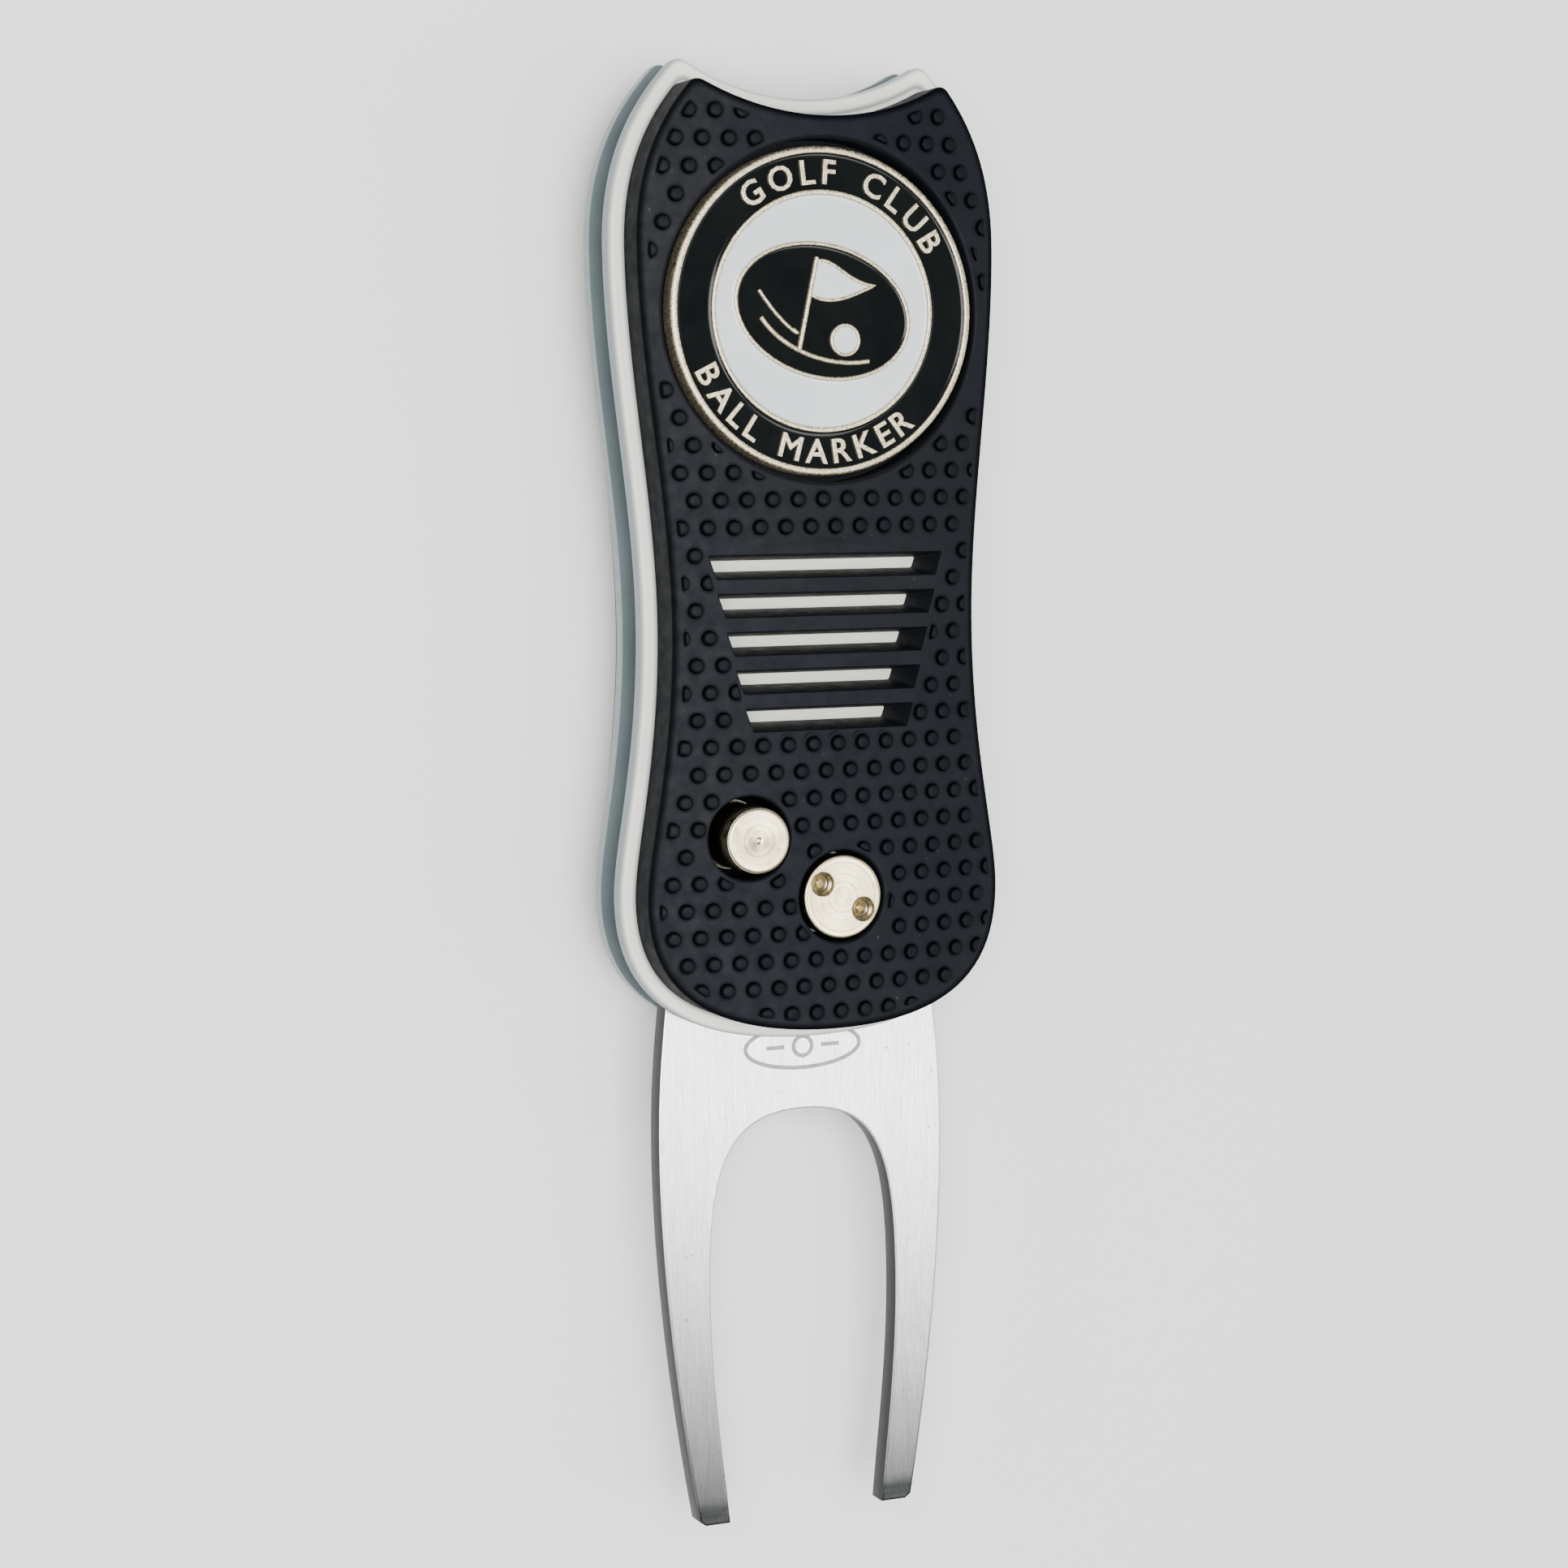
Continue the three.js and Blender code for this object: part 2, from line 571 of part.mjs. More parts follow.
function stopPin() {
  add('stop_pin', bar(STOP_PIN, STOP_PIN.radius, CAVITY_Z - 0.85, FRONT_LINER_Z + 0.75), 'turned');
}

function caseScrews() {
  const headBottom = BACK_LINER_Z + 0.02;
  SCREW_PLACES.forEach((place, i) => {
    const screw = turned([
      [0, headBottom], [CASE_SCREW_HEAD_RADIUS, headBottom],
      [CASE_SCREW_HEAD_RADIUS, headBottom + CASE_SCREW_HEAD],
      [CASE_SCREW_RADIUS, headBottom + CASE_SCREW_HEAD],
      [CASE_SCREW_RADIUS, FRONT_LINER_Z + 0.95], [0, FRONT_LINER_Z + 0.95],
    ], place, FINE);
    add(`case_screw_${i + 1}`, screw, 'turned');
  });
}

frontGrip();
backGrip();
liners();
spine();
fork();
pivot();
releaseButton();
ballMarker();
stopPin();
caseScrews();

export default assembly;
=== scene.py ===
# Folding divot repair tool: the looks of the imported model, in metres and in its frame.
# Outlines are drawn in millimetres in handle coordinates (x, v), as in the CAD:
# v runs along the handle, and Y is v plus V_SHIFT. Heights z are in millimetres too.

import json
import math

import bmesh
import bpy
import numpy as np
from mathutils import Matrix, Vector
from mathutils.geometry import delaunay_2d_cdt

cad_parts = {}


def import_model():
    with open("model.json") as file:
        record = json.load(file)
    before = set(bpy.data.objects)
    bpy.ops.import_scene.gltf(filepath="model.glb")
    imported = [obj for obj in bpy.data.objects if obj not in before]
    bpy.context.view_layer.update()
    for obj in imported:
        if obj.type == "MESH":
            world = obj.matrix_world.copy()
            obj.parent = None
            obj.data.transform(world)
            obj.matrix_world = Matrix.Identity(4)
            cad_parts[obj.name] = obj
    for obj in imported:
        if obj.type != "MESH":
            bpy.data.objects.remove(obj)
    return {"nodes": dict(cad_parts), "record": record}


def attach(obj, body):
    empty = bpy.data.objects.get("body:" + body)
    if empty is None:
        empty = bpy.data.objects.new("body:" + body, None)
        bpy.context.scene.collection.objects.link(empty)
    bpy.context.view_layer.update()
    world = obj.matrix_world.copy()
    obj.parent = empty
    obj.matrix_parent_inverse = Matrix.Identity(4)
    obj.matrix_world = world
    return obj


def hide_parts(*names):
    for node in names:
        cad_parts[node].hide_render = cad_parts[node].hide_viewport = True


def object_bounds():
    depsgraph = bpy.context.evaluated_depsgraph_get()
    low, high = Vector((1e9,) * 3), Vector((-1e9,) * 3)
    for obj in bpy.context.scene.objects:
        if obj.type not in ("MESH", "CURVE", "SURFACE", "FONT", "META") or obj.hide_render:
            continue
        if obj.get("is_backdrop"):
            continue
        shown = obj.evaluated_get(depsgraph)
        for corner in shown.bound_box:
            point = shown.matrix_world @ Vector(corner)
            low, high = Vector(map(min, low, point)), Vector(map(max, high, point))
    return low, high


# ---------------- driving dimensions

MM = 0.001
V_SHIFT = 3.2

# Plan of the handle at the liner's edge
HALF_WIDTH_HEAD = 16.33
HALF_WIDTH_WAIST = 14.08
HALF_WIDTH_FOOT = 16.27
HEAD_V = 40.7
WAIST_V = 11.3
FOOT_V = -10.0
BOTTOM_V = -21.85
HORN_X = 10.3
HORN_V = 55.22
NOTCH_V = 52.2
NOTCH_SAG = HORN_V - NOTCH_V
NOTCH_RADIUS = (HORN_X ** 2 + NOTCH_SAG ** 2) / (2 * NOTCH_SAG)
GRIP_INSET = 1.25
GRIP_NOTCH_INSET = 1.7  # the grips stop further back from the notch

# Thicknesses, from the table upwards
LAND_HEIGHT = 0.45
GRIP_THICKNESS = 4.5
GRIP_CROWN_RADIUS = 71.0
LINER_BACK = 1.6
CAVITY = 3.0
LINER_FRONT = 1.5
GLUE = 0.05
RUNNING = 0.1
BACK_LINER_Z = LAND_HEIGHT + GRIP_THICKNESS
CAVITY_Z = BACK_LINER_Z + LINER_BACK
FRONT_LINER_Z = CAVITY_Z + CAVITY
FRONT_GRIP_Z = FRONT_LINER_Z + LINER_FRONT
FACE_Z = FRONT_GRIP_Z + GRIP_THICKNESS
PAD_Z = FRONT_GRIP_Z + GLUE
PAD_HEIGHT = GRIP_THICKNESS - GLUE

# Fork
FORK_THICKNESS = 2.0
FORK_AXIS_X = -0.2
FORK_HALF_WIDTH = 12.38
FORK_WIDEST_V = -30.5
SHOULDER_V = -18.6
SHOULDER_HALF_WIDTH = 11.6
CROTCH_V = -28.0
GAP_HALF_WIDTH = 8.2
GAP_WIDEST_V = -42.7
TIP_V = -61.4
TIP_INNER = 6.75
TIP_OUTER = 9.2
TIP_CHAMFER = 0.35
TIP_TAPER_LENGTH = 1.8
TIP_TAPER = 0.015
TIP_SOOT_LENGTH = 2.3  # marked dark by turf
# Painted shade darkens the tines' faces towards their tips over this length.
TINE_SHADE_LENGTH = 34.0  # over which the tines darken towards their tips
ETCH_V = -22.9
ETCH_HALF_LENGTH = 5.0
ETCH_HALF_HEIGHT = 1.75
ETCH_BALL_RADIUS = 0.8
ETCH_BAR = (1.6, 2.4, 3.2)
ETCH_WIDTH = 0.33
TANG_RADIUS = 5.2
NECK_HALF_WIDTH = 4.2
FORK_Z = CAVITY_Z + (CAVITY - FORK_THICKNESS) / 2

# Pivot and release button
PIVOT = (0.68, -10.13)
PIVOT_HEAD_RADIUS = 3.3
PIVOT_HEAD_THICKNESS = 1.6
PIVOT_HEAD_PROUD = 0.1
PIVOT_HEAD_Z = FACE_Z + PIVOT_HEAD_PROUD
PIVOT_RADIUS = 2.4
PIVOT_HOLE_RADIUS = 3.65
SCREW_RADIUS = 1.1
SPANNER_CIRCLE = 2.04
SPANNER_RADIUS = 0.93
SPANNER_ANGLE = math.radians(-32)
BUTTON = (-6.98, -5.18)
BUTTON_RADIUS = 2.6
BUTTON_PROUD = 1.5
BUTTON_HOLE_RADIUS = 3.3
BUTTON_LIP = 0.55
PIVOT_LIP = 0.33
LIP_THICKNESS = 0.3
SCREW_SET_BACK = 0.15  # of the screw's head in the back land
SCREW_REACH = 0.5  # of its shank into the barrel, past the front liner
HEAD_OVERLAP = 0.05  # of a head and its shank
SPRING_WELL_RADIUS = 2.4
FLANGE_RADIUS = 3.1
FLANGE_THICKNESS = 0.55
COLLAR_RADIUS = 2.2
STEM_RADIUS = 1.0
STEM_BOTTOM_Z = 3.7

# Ball marker
MARKER = (0.0, 35.55)
MARKER_RADIUS = 12.7
MARKER_TOP_Z = FACE_Z - 0.85
MARKER_THICKNESS = 2.0
MARKER_RIM = 0.55
FENCE_OUTER = 9.35
FENCE_INNER = 8.98
ENAMEL_DEPTH = 0.5
ENAMEL_BELOW_RIM = 0.2
ENAMEL_LOW_Z = MARKER_TOP_Z - ENAMEL_DEPTH + 0.01
ENAMEL_HIGH_Z = MARKER_TOP_Z - ENAMEL_BELOW_RIM
MENISCUS = 0.07
RECESS_RADIUS = 13.25
MAGNET_HOLE_RADIUS = 5.9
MARKER_TURN = math.radians(-12.5)
EMBLEM_LENGTH = 7.4
EMBLEM_WIDTH = 5.1
PENNANT_TOP = (-1.3, 3.7)
PENNANT_END = (3.9, 2.9)
PENNANT_FOOT = (-1.3, 1.0)
STICK_X = -1.35
STICK_TOP = 3.95
STICK_FOOT = -3.3
BALL = (2.3, -1.75)
BALL_RADIUS = 1.15
RELIEF_WIDTH = 0.3
BOLD_WIDTH = 0.34
FINE_WIDTH = 0.26
GROUND_LINES = (  # start, height of the sag, end, width
    ((-5.0, -1.6), -3.9, (4.6, -2.9), BOLD_WIDTH), ((-5.6, 0.4), -2.2, (-2.2, -1.9), FINE_WIDTH))
LETTER_SIZE = 2.65
LETTER_BASE_TOP = 9.8
LETTER_BASE_BOTTOM = 11.72
LETTER_BEVEL = 0.055
LETTER_HALF_DEPTH = 0.13
LETTER_SINK = 0.19  # of a letter's middle below the rim
WORD_GAP = 1.1
TOP_WORDS = (math.radians(141), math.radians(39))
BOTTOM_WORDS = (math.radians(216), math.radians(324))

# Vent slots
SLOT_COUNT = 5
SLOT_TOP_V = 16.77
SLOT_PITCH = 2.97
SLOT_HEIGHT = 1.78
SLOT_HALF_LENGTH = 9.93
SLOT_SHORTENING = 0.693
SLOT_END_SLANT = 0.6
SLOT_DRAFT = 0.47

# Pips on the grips, in staggered rows
PIP_PITCH = 2.09
PIP_ROW_PITCH = 2.115
PIP_PHASE_V = -0.1
PIP_TOP_V = 51.4  # no pips above this, in the horns
PIP_PHASE_X = -0.65
PIP_RADIUS = 0.55
PIP_HEIGHT = 0.42
PIP_SIDES = 18
# The sections' rim colour is painted shade: a dark ring round each pip's foot and down its sides.
PIP_SECTIONS = (  # part of the reach, rise above the face, part of the rim colour
    (1.6, -0.03, 0.0), (1.58, 0.003, 0.0), (1.3, 0.01, 0.4), (1.08, 0.03, 1.0),
    (1.0, 0.12, 1.0), (0.93, 0.28, 0.9), (0.82, 0.37, 0.6), (0.55, PIP_HEIGHT - 0.01, 0.35))
PIP_LEAST_SHARE = 0.2  # a pip with less of it left is not moulded
PIP_LEAST_REACH = 0.12
PIP_SAMPLES = (0.05, 0.35, 0.65, 0.95)  # rings of test points, in radii
PIP_PROBE = 1.6  # how far its cut edge is looked for, in radii
PIP_MARGIN = 0.85  # from the pad's edge
PIP_NOTCH_MARGIN = 1.0
PIP_RECESS_MARGIN = 0.6
PIP_HOLE_MARGIN = 0.45
PIP_SLOT_MARGIN = 0.4

# Rest land on the back grip
LAND_HALF_WIDTH = 6.5
LAND_BOTTOM_V = -1.5
LAND_TOP_V = 47.0
LAND_CLEARANCE = 0.4
LAND_SLOT_GAP = 0.1

# Fineness of the meshes
CURVE_STEPS = 40
SIDE_POINTS = 112
NOTCH_POINTS = 25
ROUND = 96
HOLE_SIDES = 64
COIN_SIDES = 144
PAD_SPACING = 1.3
BLADE_SPACING = 1.1
GRID_CLEARANCE = 0.4  # of a grid point from an outline, in spacings
SHARP_ANGLE = math.radians(42)

# Camera: three-quarter from the left, nearly square to the face
CAMERA_PLACE = (-0.10685, 0.02557, 0.25565)
CAMERA_RIGHT = (0.9190, -0.0127, 0.3941)
CAMERA_UP = (0.0467, 0.9959, -0.0770)
CAMERA_BACK = (-0.3915, 0.0892, 0.9159)
CAMERA_LENS = 77.34
CAMERA_SENSOR = 36.0

# Floor, in metres: flat under the tool, then falling away slightly
FLOOR_SIZE = 1.5
FLOOR_FLAT_RADIUS = 0.4
FLOOR_GAP = 0.00002
FLOOR_FALL = 0.0005

SKY_COLOR = (0.94, 0.97, 1.0, 1.0)
SKY_STRENGTH = 0.42


# ---------------- plan curves

def bezier(a, b, c, d, steps=CURVE_STEPS):
    """Points of a cubic curve, without its first one."""
    t = np.linspace(0, 1, steps + 1)[1:, None]
    a, b, c, d = (np.array(p, float) for p in (a, b, c, d))
    curve = (1 - t) ** 3 * a + 3 * (1 - t) ** 2 * t * b + 3 * (1 - t) * t * t * c + t ** 3 * d
    return [tuple(p) for p in curve]


def handle_outline():
    """The liner's sharp outline, anticlockwise from the bottom, and its right horn's place."""
    foot, waist, head = HALF_WIDTH_FOOT, HALF_WIDTH_WAIST, HALF_WIDTH_HEAD
    side = [(0.0, BOTTOM_V)]
    side += bezier(side[-1], (11.0, BOTTOM_V), (foot, FOOT_V - 7.8), (foot, FOOT_V))
    side += bezier(side[-1], (foot, FOOT_V + 4.2), (waist, WAIST_V - 10.5), (waist, WAIST_V))
    side += bezier(side[-1], (waist, WAIST_V + 9.7), (head, HEAD_V - 9.7), (head, HEAD_V))
    side += bezier(side[-1], (head, HEAD_V + 5.8), (HORN_X + 4.2, HORN_V - 4.1), (HORN_X, HORN_V))
    left = [(-x, v) for x, v in reversed(side[1:])]
    return side + left, len(side) - 1


def inset(points, distance):
    """An anticlockwise outline moved inwards, with mitred corners."""
    p = np.array(points, float)
    along = np.roll(p, -1, axis=0) - p
    normal = np.stack([-along[:, 1], along[:, 0]], axis=1)
    normal /= np.linalg.norm(normal, axis=1)[:, None]
    before = np.roll(normal, 1, axis=0)
    reach = distance / (1 + (before * normal).sum(axis=1))
    return p + (before + normal) * reach[:, None]


def bend(a, corner, c, steps):
    """Points of a curve that takes the place of a corner."""
    return [(1 - t) ** 2 * a + 2 * t * (1 - t) * corner + t * t * c for t in np.linspace(0, 1, steps + 1)]


def blunted(points, corners):
    """The outline with a curve in place of each corner and the points beside it."""
    result = []
    for i, point in enumerate(points):
        if i in corners:
            result += bend(points[i - 1], point, points[i + 1], 6)
        elif i - 1 not in corners and i + 1 not in corners:
            result.append(point)
    return np.array(result)


def rounded(points, radius):
    """A coarse polygon with a small curve at every corner."""
    result = []
    for last, corner, following in zip(np.roll(points, 1, axis=0), points, np.roll(points, -1, axis=0)):
        to_last, to_next = last - corner, following - corner
        a = corner + to_last * (radius / np.linalg.norm(to_last))
        c = corner + to_next * (radius / np.linalg.norm(to_next))
        result += bend(a, corner, c, 4)
    return np.array(result)


OUTLINE, HORN = handle_outline()


def handle_ring(depth, notch_depth):
    """The outline at a depth inside the liner's edge and notch, evenly spaced, and its horns' places."""
    centre = np.array([0.0, NOTCH_V + NOTCH_RADIUS])
    reach = NOTCH_RADIUS + notch_depth
    side = inset(OUTLINE, depth)[:HORN + 1]
    away = np.linalg.norm(side - centre, axis=1) - reach
    past = np.flatnonzero(away < 0)
    end = past[0] if len(past) else HORN
    share = away[end - 1] / (away[end - 1] - away[end])
    side = np.vstack([side[:end], side[end - 1] + share * (side[end] - side[end - 1])])
    length = np.concatenate([[0], np.cumsum(np.linalg.norm(np.diff(side, axis=0), axis=1))])
    even = np.linspace(0, length[-1], SIDE_POINTS)
    right = np.stack([np.interp(even, length, part) for part in side.T], axis=1)
    turn = math.atan2(right[-1, 0], centre[1] - right[-1, 1])
    angles = np.linspace(turn, -turn, NOTCH_POINTS + 2)[1:-1]
    notch = centre + reach * np.stack([np.sin(angles), -np.cos(angles)], axis=1)
    left = right[:0:-1] * (-1, 1)
    return np.vstack([right, notch, left]), (SIDE_POINTS - 1, SIDE_POINTS + NOTCH_POINTS)


def handle_loop(base, notch_base):
    """The handle's outline as a loop: a function of how far a ring lies inside it."""
    def loop(d):
        return blunted(*handle_ring(base + d, notch_base + d))
    return loop


def circle(sides):
    """Unit vectors, evenly all the way round."""
    turn = np.linspace(0, 2 * math.pi, sides, endpoint=False)
    return np.stack([np.cos(turn), np.sin(turn)], axis=1)


def disc_loop(place, radius, sides=ROUND):
    """A round outline, whose rings shrink with their inset."""
    return lambda d: np.array(place) + circle(sides) * (radius - d)


def hole_loop(place, radius, sides=ROUND):
    """A round hole, whose rings grow with their inset."""
    return lambda d: np.array(place) + circle(sides) * (1, -1) * (radius + d)


def emblem_point(x, v):
    """A point of the ball marker's artwork, which sits a little turned in its seat."""
    c, s = math.cos(MARKER_TURN), math.sin(MARKER_TURN)
    return (MARKER[0] + c * x - s * v, MARKER[1] + s * x + c * v)


def oval_points(length, width, sides=ROUND):
    return [emblem_point(length * x, width * v) for x, v in circle(sides)]


def oval_loop(grow, hole):
    """The emblem's oval, grown by a little, as a hole or an outline."""
    def loop(d):
        r = grow + (d if hole else -d)
        points = oval_points(EMBLEM_LENGTH + r, EMBLEM_WIDTH + r)
        return np.array(points[::-1] if hole else points)
    return loop


def slot_corners(i):
    top = SLOT_TOP_V - i * SLOT_PITCH
    half = SLOT_HALF_LENGTH - i * SLOT_SHORTENING
    low = top - SLOT_HEIGHT
    foot = half - SLOT_END_SLANT
    return np.array([(-foot, low), (foot, low), (half, top), (-half, top)])


def slot_loop(i):
    return lambda d: rounded(inset(slot_corners(i), -d), 0.16)[::-1]


def slot_group():
    """The outline round all the slots that the pips keep clear of."""
    first, last = slot_corners(0), slot_corners(SLOT_COUNT - 1)
    return np.vstack([last[:2], first[2:]])


def fork_outline():
    """Blade, neck and round tang, anticlockwise from the crotch between the tines."""
    half = [(0.0, CROTCH_V)]
    half += bezier(half[-1], (6.8, CROTCH_V), (GAP_HALF_WIDTH, -32.5), (GAP_HALF_WIDTH, GAP_WIDEST_V), 22)
    half += bezier(half[-1], (GAP_HALF_WIDTH, -50), (7.2, TIP_V + 5), (TIP_INNER, TIP_V), 22)
    half += [(TIP_OUTER - TIP_CHAMFER, TIP_V), (TIP_OUTER + 0.15, TIP_V + TIP_CHAMFER)]
    half += bezier(half[-1], (10.6, -54), (FORK_HALF_WIDTH, -42), (FORK_HALF_WIDTH, FORK_WIDEST_V), 26)
    half += bezier(half[-1], (FORK_HALF_WIDTH, -26), (12.1, -23), (SHOULDER_HALF_WIDTH, SHOULDER_V), 8)
    right = [(x + FORK_AXIS_X, v) for x, v in half]
    left = [(FORK_AXIS_X - x, v) for x, v in reversed(half[1:])]
    start = -math.acos(NECK_HALF_WIDTH / TANG_RADIUS)
    turns = np.linspace(start, math.pi - start, 36)
    tang = [(PIVOT[0] + TANG_RADIUS * math.cos(a), PIVOT[1] + TANG_RADIUS * math.sin(a)) for a in turns]
    neck_right = (PIVOT[0] + NECK_HALF_WIDTH, SHOULDER_V)
    neck_left = (PIVOT[0] - NECK_HALF_WIDTH, SHOULDER_V)
    return right + [neck_right] + tang + [neck_left] + left


# ---------------- mesh building

LOOKS = {}  # finished materials by name


class Shape:
    """Vertices in millimetres, faces, and how far each vertex takes its material's rim colour, which is
    painted shade on walls, in creases and round hollows.
    """

    def __init__(self):
        self.verts = []
        self.faces = []
        self.shade_shares = []
        self.slots = []

    def ring(self, points, height, rim=0.0):
        """Adds a ring of points, whose height is a number or a function of (x, v)."""
        first = len(self.verts)
        for x, v in points:
            z = height(x, v) if callable(height) else height
            self.verts.append((float(x), float(v), float(z)))
            self.shade_shares.append(rim)
        return list(range(first, len(self.verts)))

    def face(self, corners, slot=0):
        self.faces.append(tuple(corners))
        self.slots.append(slot)

    def band(self, low, high, slot=0, closed=True):
        count = len(low)
        for i in range(count if closed else count - 1):
            j = (i + 1) % count
            self.face((low[i], low[j], high[j], high[i]), slot)

    def bands(self, rings, slot=0):
        for low, high in zip(rings, rings[1:]):
            self.band(low, high, slot)

    def cap(self, ring, slot=0):
        """Closes a ring with a fan about its middle."""
        middle = np.mean([self.verts[i] for i in ring], axis=0)
        self.verts.append(tuple(middle))
        self.shade_shares.append(self.shade_shares[ring[0]])
        centre = len(self.verts) - 1
        for i, index in enumerate(ring):
            self.face((index, ring[(i + 1) % len(ring)], centre), slot)

    def repaint(self, slot, rule):
        """Gives a material slot to the faces whose corners' heights meet a rule."""
        for i, face in enumerate(self.faces):
            if rule([self.verts[corner][2] for corner in face]):
                self.slots[i] = slot


def inside(points, polygon):
    """Which points lie inside a polygon."""
    p, q = polygon, np.roll(polygon, -1, axis=0)
    x, y = points.T[..., None]
    crosses = (p[:, 1] > y) != (q[:, 1] > y)
    rise = np.where(q[:, 1] == p[:, 1], 1e-12, q[:, 1] - p[:, 1])
    at = p[:, 0] + (y - p[:, 1]) * (q[:, 0] - p[:, 0]) / rise
    return (crosses & (x < at)).sum(axis=1) % 2 == 1


def within(points, loops):
    """Which points lie inside the first outline and outside the others."""
    keep = inside(points, loops[0])
    for loop in loops[1:]:
        keep &= ~inside(points, loop)
    return keep


def distance(points, polygon):
    """Each point's distance to the polygon's edge."""
    p, q = polygon[None], np.roll(polygon, -1, axis=0)[None]
    along = q - p
    t = ((points[:, None] - p) * along).sum(axis=2) / (along ** 2).sum(axis=2)
    nearest = p + np.clip(t, 0, 1)[..., None] * along
    return np.linalg.norm(points[:, None] - nearest, axis=2).min(axis=1)


def sheet(shape, rings, height=None, spacing=0.0, flip=False):
    """Fills the area inside the first ring and outside the others, over a grid if spacing is given."""
    loops = [np.array([shape.verts[i][:2] for i in ring]) for ring in rings]
    edges, index = [], []
    for ring in rings:
        start, count = len(index), len(ring)
        edges += [(start + i, start + (i + 1) % count) for i in range(count)]
        index += ring
    flat = np.concatenate(loops)
    if spacing:
        low, high = loops[0].min(axis=0), loops[0].max(axis=0)
        spans = [np.arange(start, end, spacing) for start, end in zip(low, high)]
        grid = np.stack(np.meshgrid(*spans), axis=-1).reshape(-1, 2)
        grid = grid[within(grid, loops)]
        clear = np.min([distance(grid, loop) for loop in loops], axis=0) > GRID_CLEARANCE * spacing
        index += shape.ring(grid[clear], height)
        flat = np.concatenate([flat, grid[clear]])
    found = delaunay_2d_cdt([Vector(p) for p in flat], edges, [], 0, 1e-6, True)
    points = np.array([tuple(p) for p in found[0]])
    triangles = np.array([tuple(f) for f in found[2] if len(f) == 3])
    for triangle in triangles[within(points[triangles].mean(axis=1), loops)]:
        corners = [index[found[3][i][0]] for i in triangle]
        shape.face(corners[::-1] if flip else corners)


def slab(shape, walls, top=None, spacing=0.0):
    """A plate. Each wall is (loop, steps), its outline first and then its holes.

    Steps are (inset, height), or (inset, height, rim), from the lower face up.
    A wall with a third entry, "blind", is a hole that starts at its floor.
    """
    lower, upper = [], []
    for loop, steps, *blind in walls:
        rings = [shape.ring(loop(d), *level) for d, *level in steps]
        shape.bands(rings, 1 if blind else 0)
        if blind:
            shape.cap(rings[0], 1)
        else:
            lower.append(rings[0])
        upper.append(rings[-1])
    sheet(shape, upper, top, spacing)
    sheet(shape, lower, flip=True)


def lathe(shape, place, profile, sides=ROUND, closed=False):
    """Turns (radius, z) pairs about a standing axis; an open profile is capped at both ends."""
    rings = [shape.ring(np.array(place) + circle(sides) * r, z) for r, z in profile]
    shape.bands(rings)
    if closed:
        shape.band(rings[-1], rings[0])
    else:
        shape.cap(rings[0])
        shape.cap(rings[-1])


def round_section(width, low, high):
    """Cross-section of a raised line with a rounded top: (part of the width, height)."""
    shoulder = high - 0.25 * width
    brow = high - 0.06 * width
    left = [(-0.5, low), (-0.5, shoulder), (-0.33, brow)]
    return left + [(0, high)] + [(-part, height) for part, height in reversed(left)]


def flat_section(_, low, high):
    """The same for a line with a flat top, at any width."""
    return [(-0.5, low), (-0.5, high), (0.5, high), (0.5, low)]


def ribbon(shape, points, width, low, high, closed=True, section=round_section):
    """A line of even width along a path."""
    p = np.array(points, float)
    along = np.roll(p, -1, axis=0) - np.roll(p, 1, axis=0) if closed else np.gradient(p, axis=0)
    side = np.stack([along[:, 1], -along[:, 0]], axis=1)
    side /= np.linalg.norm(side, axis=1)[:, None]
    rings = [shape.ring(p + side * (width * u), z) for u, z in section(width, low, high)]
    for a, b in zip(rings, rings[1:] + rings[:1]):
        shape.band(a, b, closed=closed)
    if not closed:
        shape.face([ring[0] for ring in rings])
        shape.face([ring[-1] for ring in rings])


def placed(name, data):
    """A new object of the scene."""
    obj = bpy.data.objects.new(name, data)
    bpy.context.collection.objects.link(obj)
    return obj


def make(name, shape, body, slot, nodes=(), place=(0.0, 0.0), looks=None, turn_over=False):
    """Finishes a piece, with its own origin at `place` and looks named after its slot unless given."""
    points = np.array(shape.verts)
    if turn_over:
        points[:, 0] *= -1
        points[:, 2] = BACK_LINER_Z + FRONT_GRIP_Z - points[:, 2]
    origin = np.array([place[0], place[1], 0.0])
    mesh = bpy.data.meshes.new(name)
    mesh.from_pydata(((points - origin) * MM).tolist(), [], shape.faces)
    for look in looks or [slot]:
        mesh.materials.append(LOOKS[look])
    mesh.polygons.foreach_set("material_index", shape.slots)
    # The rim attribute holds each vertex's share of painted shade.
    rim = mesh.attributes.new("rim", "FLOAT", "POINT")
    rim.data.foreach_set("value", shape.shade_shares)
    work = bmesh.new()
    work.from_mesh(mesh)
    bmesh.ops.recalc_face_normals(work, faces=work.faces)
    work.to_mesh(mesh)
    work.free()
    mesh.shade_smooth()
    mesh.set_sharp_from_angle(angle=SHARP_ANGLE)
    obj = placed(name, mesh)
    obj.location = ((origin + (0.0, V_SHIFT, 0.0)) * MM).tolist()
    bpy.context.view_layer.update()
    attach(obj, body)
    if nodes:
        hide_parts(*nodes)


# ---------------- materials

def srgb(r, g, b):
    """Display colour, 0 to 255, as a linear one."""
    parts = [c / 255 for c in (r, g, b)]
    linear = [c / 12.92 if c <= 0.04045 else ((c + 0.055) / 1.055) ** 2.4 for c in parts]
    return (*linear, 1.0)


